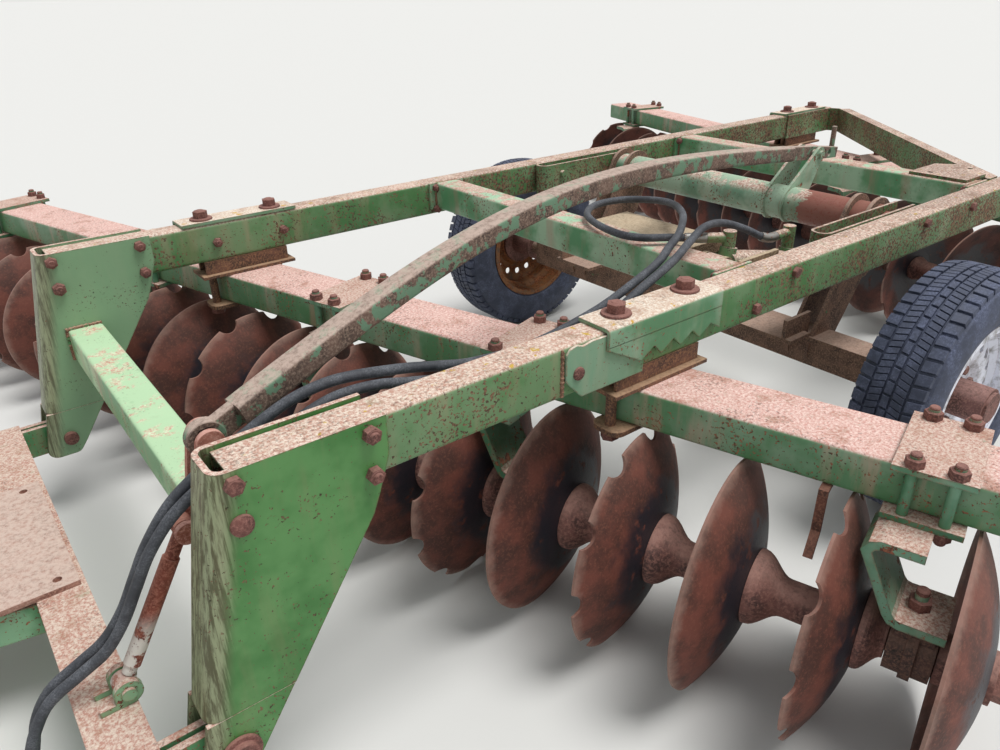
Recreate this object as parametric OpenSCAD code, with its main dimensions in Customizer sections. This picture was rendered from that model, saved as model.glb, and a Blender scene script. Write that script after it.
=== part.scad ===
// Wheel-carried offset disc harrow: a bolted beam frame that carries two angled gangs of
// dished discs, a rockshaft with two transport wheels, and a hitch levelled by a long rod.
// x runs forward, y to the left and z up from the ground, in millimetres.

/* [Frame] */
// Height of the side beams' top faces above the ground
beam_top = 770; // [750:5:800]
// Width over the two side beams
frame_w = 1376; // [1340:4:1400]
// Width of a side beam
beam_w = 76; // [70:2:84]
// Height of a side beam
beam_h = 110; // [100:2:120]
// Wall of beams, tubes and pipes
wall = 6; // [4:1:8]
// Distance from the front datum back to the beams' front ends
beam_front = 28; // [20:2:40]
// Distance from the front datum back to the left beam's rear end
left_beam_rear = 3330; // [3300:10:3500]
// Distance from the front datum back to the right beam's rear end
right_beam_rear = 3724; // [3680:4:3800]
// Side of the square cross tubes
tube_w = 90; // [80:2:100]
// Distance back to the middle cross tube
mid_tube_x = 1290; // [1270:5:1310]
// Distance back to the rear cross tube
rear_tube_x = 2563; // [2500:5:2600]
// Thickness of the bolted end plates and brackets
bracket_t = 8; // [6:1:10]

/* [Gangs] */
// Distance back to where the front gang beam crosses the middle line
front_gang_x = 757; // [745:2:770]
// Angle of the front gang
front_angle = 17.3; // [16:0.1:18]
// Distance back to where the rear gang beam crosses the middle line
rear_gang_x = 3310; // [3290:5:3330]
// Angle of the rear gang
rear_angle = 15; // [14:0.5:16]
// Width of a gang beam
gang_beam_w = 165; // [155:5:170]
// Height of a gang beam
gang_beam_h = 90; // [80:2:100]
// Space between side beams and gang beams
gang_drop = 50; // [44:2:60]
// Length of the front gang beam right of the middle line
front_gang_right = 2210; // [2180:10:2300]
// Length of the rear gang beam right of the middle line
rear_gang_right = 2400; // [2380:10:2450]
// Length of both gang beams left of the middle line
gang_left = 1480; // [1460:10:1500]
// Distance that the disc axle lies ahead of its gang beam
axle_ahead = 123; // [118:1:130]

/* [Discs] */
// Diameter of the worn discs
disc_d = 514; // [500:2:520]
// Thickness of a disc
disc_t = 6; // [4:0.5:7]
// Radius of the sphere that a disc is pressed to
disc_sphere = 480; // [440:10:560]
// Diameter of a disc's flat middle
disc_flat_d = 150; // [140:5:160]
// Space from disc to disc
disc_pitch = 213; // [205:1:220]
// Discs on one gang
disc_count = 18; // [18:1:18]
// Notches round a notched disc
notch_count = 10; // [8:1:12]
// Radius of a notch
notch_r = 34; // [26:1:38]
// Depth of a notch
notch_depth = 20; // [14:1:26]
// Diameter of the gang axle
gang_axle_d = 50; // [44:1:54]
// Diameter of a spool's bell
bell_d = 160; // [140:2:170]
// Diameter of a spool's neck
neck_d = 80; // [74:2:90]
// Diameter of a spool's plain end
spool_end_d = 100; // [94:2:110]

/* [Standards] */
// Length of a clamp plate along the gang beam
clamp_l = 137; // [130:1:145]
// Length of a clamp plate across the gang beam
clamp_w = 225; // [220:1:230]
// Thickness of a clamp plate
clamp_t = 12; // [10:1:14]
// Diameter of the clamp bolts
clamp_bolt_d = 20; // [16:1:22]
// Depth of a standard across the gang
standard_w = 124; // [100:2:126]
// Thickness of a standard's plate
standard_t = 18; // [14:1:22]
// Diameter of a bearing housing
bearing_d = 110; // [100:2:120]
// Length of a bearing housing
bearing_l = 80; // [74:2:84]

/* [Rockshaft and wheels] */
// Distance back to the rockshaft
shaft_x = 2100; // [2090:2:2110]
// Height of the rockshaft
shaft_z = 710; // [706:1:714]
// Outer diameter of the rockshaft pipe
shaft_d = 110; // [104:2:114]
// Distance back to the wheel axle
axle_x = 1887; // [1870:2:1900]
// Width of the wheel axle beam
axle_beam_w = 100; // [90:2:110]
// Height of the wheel axle beam
axle_beam_h = 90; // [80:2:100]
// Distance from the middle line to a tyre's middle
track_half = 913.5; // [905:0.5:930]
// Outer diameter of a tyre
tyre_d = 710; // [690:2:720]
// Width of a tyre
tyre_w = 205; // [195:1:210]
// Diameter of the rims' bead seats
rim_d = 406; // [400:1:410]
// Width between a rim's beads
rim_w = 165; // [155:1:170]
// Diameter of a wheel hub
hub_d = 104; // [96:2:110]
// Diameter of a wheel spindle
spindle_d = 60; // [50:1:64]

/* [Hydraulic cylinder] */
// Distance from the middle line to the cylinder
cylinder_y = 495; // [490:1:500]
// Diameter of the barrel
barrel_d = 80; // [74:1:84]
// Length of the barrel
barrel_l = 362; // [350:2:370]
// Diameter of the piston rod
rod_d = 40; // [34:1:44]
// Diameter of the cylinder, crank and lever pins
pin_d = 25; // [22:1:26]

/* [Hitch] */
// Length of the hitch plates' top edge
hitch_plate_l = 285; // [280:5:320]
// Thickness of the hitch plates
hitch_plate_t = 10; // [8:1:10]
// Side of the hitch tube
hitch_tube_w = 95; // [90:1:98]
// Height of the hitch pivots
hitch_pivot_z = 245; // [240:1:250]
// Distance that the hitch pivots lie ahead of the front datum
hitch_pivot_x = 45; // [40:1:50]
// Diameter of the hitch pivot pins
hitch_pin_d = 38; // [34:1:42]
// Distance from the front datum to the middle of the towing eye
eye_x = 1380; // [1360:10:1500]
// Distance that the towing eye lies right of the middle line
eye_right = 85; // [75:5:95]
// Diameter of the towing eye's hole
eye_d = 32; // [28:1:36]
// Thickness of the towing eye
eye_t = 32; // [28:1:36]

/* [Levelling rod] */
// Height of the rod's section
level_rod_h = 45; // [40:1:48]
// Width of the rod's section
level_rod_w = 50; // [44:1:52]
// Height of the lever on the rockshaft above its axis
lever_rise = 144; // [140:1:150]
// Distance that the lever's eye lies behind the rockshaft
lever_back = 125; // [120:1:130]

/* [Fits] */
// Radial clearance of running fits
running_fit = 0.05; // [0.02:0.01:0.1]
// Clearance of seated pieces
seat_fit = 0.3; // [0.2:0.05:0.4]
// Play left in each open eye round its pin
eye_play = 8.5; // [8:0.5:9]

/* [Hidden] */
$fn = 48;

paint_green = "#4f8a5b";
rust_pink = "#a87468";
rust_brown = "#6e4436";
dark_steel = "#4a4542";
rubber_black = "#2b2f36";
rim_white = "#c9cbd0";
rim_orange = "#a8622c";

// Side beams and what lines up with them
y_out = frame_w / 2;
y_in = y_out - beam_w;
y_mid = y_out - beam_w / 2;
beam_low = beam_top - beam_h;
gang_top = beam_low - gang_drop;
gang_low = gang_top - gang_beam_h;
front_tube_z = 515;
front_tube_x = 68;

// Saddles that clamp the gang beams under the side beams
saddle_bolt_d = 24;
saddle_bolt_x = 106;
saddle_plate_l = 350;
saddle_plate_t = 10;
saddle_flange_h = 92;
tooth_pitch = 61;
tooth_h = 23;
first_tooth = 78;
cheek_t = 6;
cheek_l = 232;
strap_l = 290;
under_plate_l = 262;

// Gang stations: the left end's disc, and the gaps between discs that hold a bearing
disc_r = disc_d / 2;
gang_z = disc_r;
front_first = 1429 - disc_pitch * (disc_count - 1);
rear_first = -1349;
front_gaps = [0, 5, 9, 12, 16];
rear_gaps = [0, 5, 7, 11, 16];
clamp_shift = 54;
far_clamp_shift = 94;
shifted_gap = 12;
foot_bolt_y = -21;
bearing_shift = 14;
flat_sag = disc_sphere - sqrt(pow(disc_sphere, 2) - pow(disc_flat_d / 2, 2));
disc_sag = disc_sphere - sqrt(pow(disc_sphere, 2) - pow(disc_r, 2));
disc_dish = disc_sag - flat_sag;
spool_gap = 2;
gang_end = 46;

// Wheel arms and axle
wheel_z = tyre_d / 2;
arm_t = 12;
arm_gap = 54;
arm_r = 75;
axle_half = track_half - 153.5;
spindle_end = track_half + 98.5;
shaft_half = y_in - 72;
journal_d = 76;
hanger_w = 60;
hanger_front = 1690;
hanger_rear = 2162;
hanger_h = 108;

// Cylinder: base pin and rod eye
base_pin = [-1372, 726];
rod_eye = [-2085, 572];
cyl_dir = rod_eye - base_pin;
cyl_l = norm(cyl_dir);
cyl_way = cyl_dir / cyl_l;
cyl_up = [cyl_way[1], -cyl_way[0]];
eye_w = 44;
lug_t = 12;
lug_clear = 2;
port_a = 42;
port_b = 318;

// Levelling linkage in the plane of the bell crank
link_y = y_in - 112;
crank_pin = [-30, 590];
rod_front = [-55, 728];
link_top = [12, 580];
link_low = [165, 315];
link_d = 30;
crank_t = 12;
crank_gap = 36;
link_eye_t = 28;
rod_eye_t = 24;
link_pin_d = 20;
lever_y = 200;
lever_eye = [-shaft_x - lever_back, shaft_z + lever_rise];
lever_gap = 60;
lever_t = 10;
rod_end_w = 26;
rod_plan = atan2(link_y - lever_y, rod_front[0] - lever_eye[0]);
rod_span = norm([rod_front[0] - lever_eye[0], link_y - lever_y]);
rod_rise = lever_eye[1] - rod_front[1];
rod_tail = 198;

// Hitch tube and tongue
hitch_tube_x = 202.5;
hitch_tube_z = 242.5;
hitch_half = y_mid + 30;
tongue_h = 75;
tongue_w = 60;

// Overall corners, which put the origin in the middle of the box on the ground
x_front = eye_x + 45;
gang_l = disc_pitch * (disc_count - 1);
x_back = -rear_gang_x - (rear_first + gang_l - disc_dish) * sin(rear_angle)
    + (axle_ahead - disc_r) * cos(rear_angle);
axle_side = axle_ahead + gang_axle_d / 2;
y_left = (front_first + gang_l + gang_end) * cos(front_angle) + axle_side * sin(front_angle);
y_right = -(rear_first + gang_l + gang_end) * cos(rear_angle) - axle_side * sin(rear_angle);
origin_x = -(x_front + x_back) / 2;
origin_y = -(y_left + y_right) / 2;

// Hoses: points chosen by hand, from the couplers on the ground back to the cylinder's ports
hose_d = 20;
hose_sides = 10;
fitting_d = 26;
coupler_l = 70;
route_a = [
    [540, 370, 13.5], [460, 384, 18], [395, 400, 55], [350, 412, 120], [325, 424, 195], [305, 434, 265],
    [270, 446, 325], [215, 460, 366], [172, 474, 400], [135, 490, 455], [105, 510, 525], [75, 526, 590],
    [30, 540, 655], [-30, 546, 700], [-90, 548, 730], [-153, 548, 758], [-206, 550, 776], [-279, 553, 783],
    [-395, 556, 766], [-481, 558, 746], [-560, 560, 730], [-700, 562, 724], [-883, 560, 750],
    [-1020, 552, 786], [-1107, 535, 805], [-1190, 495, 815], [-1273, 452, 820], [-1381, 373, 824],
    [-1450, 300, 822], [-1498, 225, 815], [-1509, 143, 806], [-1469, 65, 798], [-1385, 43, 793],
    [-1304, 91, 791], [-1255, 180, 790], [-1233, 290, 790], [-1255, 352, 790], [-1305, 392, 790],
    [-1347.5, 434.7, 790], [-1375.8, 457.8, 790]
];
route_b = [
    [600, 410, 13.5], [500, 418, 18], [425, 430, 55], [370, 442, 120], [338, 452, 195], [312, 462, 265],
    [276, 474, 325], [218, 488, 366], [175, 502, 400], [140, 518, 455], [110, 538, 525], [80, 554, 590],
    [34, 568, 652], [-30, 574, 694], [-110, 576, 724], [-189, 576, 748], [-256, 578, 766], [-331, 580, 764],
    [-408, 582, 746], [-500, 583, 728], [-700, 584, 710], [-883, 586, 736], [-1010, 582, 782],
    [-1100, 566, 802], [-1170, 540, 808], [-1234, 512, 814], [-1347, 470, 826], [-1440, 456, 816],
    [-1520, 468, 788], [-1570, 484, 762], [-1598, 494, 752.5], [-1627, 495, 752]
];

function last(p) = p[len(p) - 1];

// Builds in machine coordinates and moves the result to the part's own origin.
module place() {
    translate([origin_x, origin_y, 0]) children();
}

// Frame of the front gang: x across the beam, y along it to the left.
module front_gang() {
    place() translate([-front_gang_x, 0, 0]) rotate(front_angle) children();
}

// Frame of the rear gang, mirrored: x across the beam, y along it to the right.
module rear_gang() {
    place() translate([-rear_gang_x, 0, 0]) rotate(-rear_angle) mirror([0, 1, 0]) children();
}

// A flat shape drawn in x and z, t thick from y0 to the left.
module side_plate(y0, t) {
    translate([0, y0 + t, 0]) rotate([90, 0, 0]) linear_extrude(t) children();
}

// A bent strip along a path, between two distances to the path's left, mitred at the bends.
function unit(v) = v / norm(v);
function left_of(p, i) = let (w = unit(p[i + 1] - p[i])) [-w[1], w[0]];
function mitred(p, d) = [for (i = [0:len(p) - 1])
    let (a = left_of(p, max(i - 1, 0)), b = left_of(p, min(i, len(p) - 2))) p[i] + d * (a + b) / (1 + a * b)];

module band(p, d1, d2) {
    back = mitred(p, d2);
    polygon(concat(mitred(p, d1), [for (i = [len(p) - 1:-1:0]) back[i]]));
}

// The same on both sides of the machine.
module both_sides() {
    children();
    mirror([0, 1, 0]) children();
}

// A square tube along y, open at both ends.
module tube_y(x, z, w, y0, l, t) {
    translate([x, y0, z]) difference() {
        translate([-w / 2, 0, -w / 2]) cube([w, l, w]);
        translate([-w / 2 + t, -1, -w / 2 + t]) cube([w - 2 * t, l + 2, w - 2 * t]);
    }
}

// A rectangle with round corners, drawn from its lower left corner.
module rounded(w, h, r) {
    translate([r, 0]) square([w - 2 * r, h]);
    translate([0, r]) square([w, h - 2 * r]);
    for (x = [r, w - r], y = [r, h - r]) translate([x, y]) circle(r);
}

// A flat bar between two round ends, its sides just inside their common tangents.
module bar(p, q, r1, r2) {
    way = atan2(q[1] - p[1], q[0] - p[0]);
    turn = acos((r1 - r2) / norm(q - p));
    in = 0.995;
    function at(c, r, a) = c + in * r * [cos(a), sin(a)];
    translate(p) circle(r1);
    translate(q) circle(r2);
    polygon([at(p, r1, way + turn), at(q, r2, way + turn), at(q, r2, way - turn), at(p, r1, way - turn)]);
}

// A round pin along y.
module pin_y(p, d, y0, l) {
    translate([p[0], y0, p[1]]) rotate([-90, 0, 0]) cylinder(d = d, h = l);
}

// Side beams: hollow, drilled for the saddle bolts
module one_beam(y, rear, crossings) {
    difference() {
        translate([-rear, y - beam_w / 2, beam_low]) cube([rear - beam_front, beam_w, beam_h]);
        translate([-rear - 1, y - beam_w / 2 + wall, beam_low + wall])
            cube([rear - beam_front + 2, beam_w - 2 * wall, beam_h - 2 * wall]);
        for (x = crossings, s = [-1, 1]) translate([x + s * saddle_bolt_x, y, beam_low - 1])
            cylinder(d = saddle_bolt_d + 2 * seat_fit, h = beam_h + 2);
    }
}

function front_cross(y) = -front_gang_x - y * tan(front_angle);
function rear_cross(y) = -rear_gang_x + y * tan(rear_angle);

module side_beams() {
    color(paint_green) place() {
        one_beam(y_mid, left_beam_rear, [front_cross(y_mid), rear_cross(y_mid)]);
        one_beam(-y_mid, right_beam_rear, [front_cross(-y_mid), rear_cross(-y_mid)]);
    }
}

// Cross tubes: the front one low between the hitch plates, two level with the beams
module bolted_tube(x) {
    tube_y(-x, beam_top - tube_w / 2, tube_w, -y_in + bracket_t, 2 * (y_in - bracket_t), wall);
    both_sides() translate([-x - 70, y_in - bracket_t, beam_top - tube_w]) cube([140, bracket_t, tube_w]);
}

module cross_tubes() {
    color(paint_green) place() {
        tube_y(-front_tube_x, front_tube_z, tube_w, -y_in + hitch_plate_t, 2 * (y_in - hitch_plate_t), wall);
        bolted_tube(mid_tube_x);
        bolted_tube(rear_tube_x);
    }
}

// Hitch plates: a tall U of two webs and a front flange at the front end of each beam
module hitch_web() {
    low = hitch_pivot_z - 53;
    polygon([[0, beam_top + 4], [-hitch_plate_l, beam_top + 4], [-hitch_plate_l, beam_top - 70],
        [-262, beam_top - 135], [-247, beam_top - 172], [5, hitch_pivot_z - 20], [30, low],
        [95, low], [hitch_pivot_x + 68, hitch_pivot_z - 35], [87, beam_top - 440]]);
}

module hitch_flange() {
    polygon([[0, beam_top + 4], [-hitch_plate_t, beam_top + 4], [87 - hitch_plate_t, beam_top - 440],
        [87, beam_top - 440]]);
}

module hitch_plates() {
    color(paint_green) place() both_sides() {
        side_plate(y_out, hitch_plate_t) hitch_web();
        side_plate(y_in - hitch_plate_t, hitch_plate_t) hitch_web();
        side_plate(y_in - hitch_plate_t, beam_w + 2 * hitch_plate_t) hitch_flange();
        pin_y([hitch_pivot_x, hitch_pivot_z], hitch_pin_d, y_in - hitch_plate_t - 14, beam_w + 48);
        pin_y([hitch_pivot_x, hitch_pivot_z], 70, y_out + hitch_plate_t, 8);
        pin_y([hitch_pivot_x, hitch_pivot_z], 54, y_out + hitch_plate_t + 8, 10);
    }
}

// Diagonal brace: a channel bent round the right beam's rear end and run to the left beam
brace_h = 110;
brace_flange = 45;
brace_web = 7;
brace_side = y_in - brace_web / 2 - seat_fit;
brace_path = [[-3330, -brace_side], [-3694, -brace_side], [-3712, -y_in + 50], [-2650, brace_side]];
brace_run = brace_path[3] - brace_path[2];

function brace_x(y) = brace_path[2][0] + (y - brace_path[2][1]) * brace_run[0] / brace_run[1];

module diagonal_brace() {
    low = beam_top - brace_h;
    flange_path = [brace_path[2] + brace_run / norm(brace_run) * 12, brace_path[3]];
    cut_l = 300;
    gusset_out = y_in - 22;
    gusset_mid = y_in - 132;
    gusset_in = y_in - 212;
    color(paint_green) place() {
        difference() {
            union() {
                translate([0, 0, low]) linear_extrude(brace_h) band(brace_path, -brace_web / 2, brace_web / 2);
                for (z = [low, beam_top - brace_web]) translate([0, 0, z])
                    linear_extrude(brace_web) band(flange_path, 0, brace_flange);
            }
            translate([-rear_tube_x - cut_l, y_in - seat_fit, low - 1]) cube([cut_l, 200, brace_h + 2]);
            translate([brace_path[2][0] - 200, -y_in + seat_fit / 2 - 200, low - 1])
                cube([cut_l, 200, brace_h + 2]);
        }
        gusset_front = -rear_tube_x + tube_w / 2 - 10;
        difference() {
            translate([0, 0, beam_top]) linear_extrude(saddle_plate_t) polygon([[gusset_front, gusset_in],
                [gusset_front, gusset_out], [brace_x(gusset_out), gusset_out], [brace_x(gusset_mid), gusset_mid],
                [brace_x(gusset_mid) + 60, gusset_in]]);
            translate([-rear_tube_x, gusset_in + 55, 0]) cylinder(d = 18, h = 900);
            translate([brace_x(gusset_mid + 50) + 10, gusset_mid + 40, 0]) cylinder(d = 18, h = 900);
        }
    }
}

// Gang saddles: a toothed bent plate over each crossing, long bolts, spacer and clamp plate
module toothed_flange() {
    top = beam_top + saddle_plate_t;
    low = top - saddle_flange_h - 4;
    half = saddle_plate_l / 2;
    polygon([[half, top], [half, top - saddle_flange_h / 2],
        for (i = [0:3]) each [[first_tooth - i * tooth_pitch, low],
            [first_tooth - (i + 0.6) * tooth_pitch, low + tooth_h]],
        [-half, low + 4], [-half, top]]);
}

module saddle(x) {
    top = beam_top + saddle_plate_t;
    flange_y = y_out + cheek_t + seat_fit;
    cheek_x = saddle_plate_l / 2 - 112;
    translate([x, 0, 0]) {
        translate([-saddle_plate_l / 2, y_in, beam_top])
            cube([saddle_plate_l, flange_y + bracket_t - y_in, saddle_plate_t]);
        side_plate(flange_y, bracket_t) toothed_flange();
        for (s = [-1, 1]) translate([s * saddle_bolt_x, y_mid, gang_low - 22])
            cylinder(d = saddle_bolt_d, h = top + 24 - (gang_low - 22));
        translate([-strap_l / 2, y_in - 12, gang_top]) cube([strap_l, beam_w + 24, saddle_plate_t]);
        for (y = [y_in + 4, y_out - 12]) translate([-strap_l / 2 + 16, y, gang_top])
            cube([strap_l - 32, bracket_t, gang_drop]);
        translate([-under_plate_l / 2, y_in - 4, gang_low - 14]) cube([under_plate_l, beam_w + 8, 14]);
        translate([cheek_x, y_out, beam_low - 10])
            cube([min(cheek_l, -hitch_plate_l - 8 - x - cheek_x), cheek_t, beam_h + 14]);
    }
}

module gang_saddles() {
    color(paint_green) place() {
        saddle(front_cross(y_mid));
        saddle(rear_cross(y_mid));
        mirror([0, 1, 0]) {
            saddle(front_cross(-y_mid));
            saddle(rear_cross(-y_mid));
        }
    }
}

// Gang beams: wide flat box beams under the side beams
module gang_box(from, to) {
    difference() {
        translate([-gang_beam_w / 2, from, gang_low]) cube([gang_beam_w, to - from, gang_beam_h]);
        translate([-gang_beam_w / 2 + wall, from - 1, gang_low + wall])
            cube([gang_beam_w - 2 * wall, to - from + 2, gang_beam_h - 2 * wall]);
    }
}

module front_gang_beam() {
    color(rust_pink) front_gang() gang_box(-front_gang_right, gang_left);
}

module rear_gang_beam() {
    color(rust_pink) rear_gang() gang_box(-gang_left, rear_gang_right);
}

// Standards: clamp plates, four bolts and a bent plate down to the bearing's foot
function gap_mid(first, gap) = first + disc_pitch * (gap + 0.5);

foot_z = gang_z + bearing_d / 2 + 23;

module standard(shift) {
    top = gang_low - clamp_t - standard_t / 2;
    low = foot_z + standard_t / 2;
    path = [[-30, top], [-100, top], [-115, top - 6], [-122, top - 20], [-66, low + 16], [-57, low + 4],
        [-44, low], [33, low]];
    for (z = [gang_top, gang_low - clamp_t])
        translate([-clamp_w / 2, -shift - clamp_l / 2, z]) cube([clamp_w, clamp_l, clamp_t]);
    for (x = [-1, 1], y = [-1, 1])
        translate([x * (clamp_w / 2 - 15), y * (clamp_l / 2 - 34) - shift, gang_low - clamp_t - 18])
            cylinder(d = clamp_bolt_d, h = gang_beam_h + 2 * clamp_t + 40);
    translate([axle_ahead - standard_w / 2, 0, 0]) rotate([90, 0, 90]) linear_extrude(standard_w)
        band(path, -standard_t / 2, standard_t / 2);
    translate([axle_ahead, foot_bolt_y, foot_z - 20]) cylinder(d = 24, h = standard_t + 52);
}

module front_standards() {
    color(paint_green) front_gang() for (g = front_gaps)
        translate([0, gap_mid(front_first, g), 0]) standard(g == shifted_gap ? far_clamp_shift : clamp_shift);
}

module rear_standards() {
    color(paint_green) rear_gang() for (g = rear_gaps)
        translate([0, gap_mid(rear_first, g), 0]) standard(clamp_shift);
}

// Bearings: cast housings that hang under the standards' feet
module bearing() {
    difference() {
        union() {
            pin_y([axle_ahead, gang_z], bearing_d, -bearing_l / 2, bearing_l);
            pin_y([axle_ahead, gang_z], bearing_d + 16, -10, 20);
            translate([axle_ahead - 36, -bearing_l / 2 + 6, gang_z]) cube([72, bearing_l - 12, foot_z - gang_z]);
        }
        pin_y([axle_ahead, gang_z], gang_axle_d + 2 * running_fit, -bearing_l, 2 * bearing_l);
        translate([axle_ahead, foot_bolt_y + bearing_shift, foot_z - 21]) cylinder(d = 24 + 2 * seat_fit, h = 60);
    }
}

module front_bearings() {
    color(dark_steel) front_gang() for (g = front_gaps)
        translate([0, gap_mid(front_first, g) - bearing_shift, 0]) bearing();
}

module rear_bearings() {
    color(dark_steel) rear_gang() for (g = rear_gaps)
        translate([0, gap_mid(rear_first, g) - bearing_shift, 0]) bearing();
}

// Rockshaft hangers: a U of strap on each beam's inner face that holds the rockshaft's journal
module hanger() {
    y0 = y_in - 4 - hanger_w;
    z0 = shaft_z - 50;
    difference() {
        translate([-hanger_rear, y0, z0]) linear_extrude(hanger_h) difference() {
            union() {
                square([hanger_rear - hanger_front - 30, hanger_w]);
                translate([hanger_rear - hanger_front - 60, 0]) rounded(60, hanger_w, 29);
            }
            translate([-1, bracket_t]) square([hanger_rear - hanger_front - 29, hanger_w - 2 * bracket_t]);
            translate([hanger_rear - hanger_front - 60 - bracket_t, bracket_t])
                rounded(60, hanger_w - 2 * bracket_t, 21);
        }
        pin_y([-shaft_x, shaft_z], journal_d + 2 * running_fit, y0 - 1, hanger_w + 2);
    }
    pin_y([-1784, beam_top - 40], pin_d, y0 - 14, hanger_w + 18);
    translate([-1960, y_in - 4, z0 + 10]) cube([240, 4, hanger_h - 20]);
}

module rockshaft_hangers() {
    color(paint_green) place() both_sides() hanger();
}

// Cylinder bracket: base lugs, a strap along the beam and a shelf behind the middle tube
module cylinder_bracket() {
    face = -(mid_tube_x + tube_w / 2);
    lug = eye_w / 2 + lug_clear;
    color(rust_brown) place() {
        for (y = [cylinder_y - lug - lug_t, cylinder_y + lug]) side_plate(y, lug_t) union() {
            translate(base_pin) circle(30);
            translate([base_pin[0], base_pin[1] - 30]) square([face - base_pin[0], 60]);
        }
        pin_y(base_pin, pin_d, cylinder_y - lug - lug_t - 10, 2 * (lug + lug_t) + 20);
        translate([face - 155, 70, beam_top - 18]) cube([155, 370 - lug_t, bracket_t]);
        translate([face - 155, 70, beam_top - 44]) cube([bracket_t, 370 - lug_t, 34]);
        for (y = [70, 250, 420]) translate([face - 155, y, beam_top - 60]) cube([155, bracket_t, 50]);
        translate([face - 152, y_in - 24, beam_top - 26]) cube([152, 12, 26]);
    }
}

// Crank lugs: two ears on the front tube that hold the bell crank's pin
module crank_lugs() {
    gap = crank_gap / 2 + crank_t + 4;
    color(paint_green) place() {
        for (y = [link_y - gap - lug_t, link_y + gap]) side_plate(y, lug_t) union() {
            translate(crank_pin) circle(28);
            polygon([[-100, front_tube_z + tube_w / 2], [-24, front_tube_z + tube_w / 2],
                crank_pin + [27, -8], crank_pin + [-22, 18]]);
        }
        pin_y(crank_pin, pin_d, link_y - gap - lug_t - 8, 2 * (gap + lug_t) + 16);
    }
}

// Loose strap: a bent flat bar that hangs under the front gang beam
module loose_strap() {
    path = [[0, gang_low - 4.5], [55.5, gang_low - 4.5], [55.5, gang_low - 96], [88, gang_low - 142]];
    color(rust_brown) front_gang() translate([gang_beam_w / 2 - 40, 0, 0])
        side_plate(1091, 18) band(path, -4.5, 4.5);
}

// Discs: pressed to a sphere round a flat middle, with the rounded face to +z
module disc_profile() {
    inner = gang_axle_d / 2 + seat_fit;
    flat = disc_flat_d / 2;
    steps = 10;
    rim = [for (i = [0:steps]) flat + (disc_r - flat) * i / steps];
    function dip(r) = sqrt(pow(disc_sphere, 2) - pow(r, 2)) - disc_sphere + flat_sag;
    polygon([[inner, -disc_t / 2], [inner, disc_t / 2],
        for (r = rim) [r, dip(r) + disc_t / 2],
        for (i = [steps:-1:0]) [rim[i], dip(rim[i]) - disc_t / 2]]);
}

module disc(notched) {
    difference() {
        rotate_extrude($fn = 96) disc_profile();
        if (notched) for (i = [0:notch_count - 1]) rotate(i * 360 / notch_count)
            translate([disc_r + notch_r - notch_depth, 0, -disc_dish - 20]) cylinder(r = notch_r, h = disc_dish + 20);
    }
}

// Every second disc of a gang, turned a little from one to the next
module gang_discs(first, start, notched) {
    translate([axle_ahead, first, gang_z]) rotate([-90, 0, 0])
        for (k = [start:2:disc_count - 1]) translate([0, 0, disc_pitch * k]) rotate(13 * k) disc(notched);
}

module front_plain_discs() {
    color(rust_brown) front_gang() gang_discs(front_first, 1, false);
}

module front_notched_discs() {
    color(rust_brown) front_gang() gang_discs(front_first, 0, true);
}

module rear_plain_discs() {
    color(rust_brown) rear_gang() gang_discs(rear_first, 0, false);
}

module rear_notched_discs() {
    color(rust_brown) rear_gang() gang_discs(rear_first, 1, true);
}

// Spools: bells on the discs' round faces, short ones each side of a bearing, on one axle
function ease(t) = (1 - cos(180 * t)) / 2;

module bell(length, end_d) {
    steps = 8;
    curve = min(length, 70);
    rotate_extrude() polygon([[0, 0], [bell_d / 2, 0],
        for (i = [0:steps]) [bell_d / 2 + (neck_d - bell_d) / 2 * ease(i / steps), 6 + (curve - 6) * i / steps],
        [neck_d / 2, length], [0, length]]);
    if (end_d > 0) translate([0, 0, length - 34]) cylinder(d1 = neck_d, d2 = end_d, h = 26);
    if (end_d > 0) translate([0, 0, length - 8]) cylinder(d = end_d, h = 8);
}

module gang_spools(first, gaps) {
    room = disc_pitch - disc_t;
    bearing_at = disc_pitch / 2 - bearing_shift - disc_t / 2;
    bell_l = bearing_at - bearing_l / 2 - spool_gap;
    tail_at = bearing_at + bearing_l / 2 + spool_gap;
    translate([axle_ahead, first, gang_z]) rotate([-90, 0, 0]) {
        translate([0, 0, -gang_end]) cylinder(d = gang_axle_d, h = disc_pitch * (disc_count - 1) + 2 * gang_end);
        for (k = [0:disc_count - 2]) translate([0, 0, disc_pitch * k + disc_t / 2]) {
            if (len(search(k, gaps)) > 0) {
                bell(bell_l, 0);
                translate([0, 0, tail_at]) cylinder(d = spool_end_d, h = room - tail_at);
            } else bell(room, spool_end_d);
        }
        translate([0, 0, -disc_t / 2 - 12]) cylinder(d = spool_end_d, h = 12);
        translate([0, 0, -disc_t / 2 - 38]) cylinder(d = neck_d, h = 26, $fn = 6);
        translate([0, 0, disc_pitch * (disc_count - 1) + disc_t / 2]) {
            cylinder(d = spool_end_d, h = 12);
            cylinder(d = neck_d, h = 38, $fn = 6);
        }
    }
}

module front_spools() {
    color(rust_brown) front_gang() gang_spools(front_first, front_gaps);
}

module rear_spools() {
    color(rust_brown) rear_gang() gang_spools(rear_first, rear_gaps);
}

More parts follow.
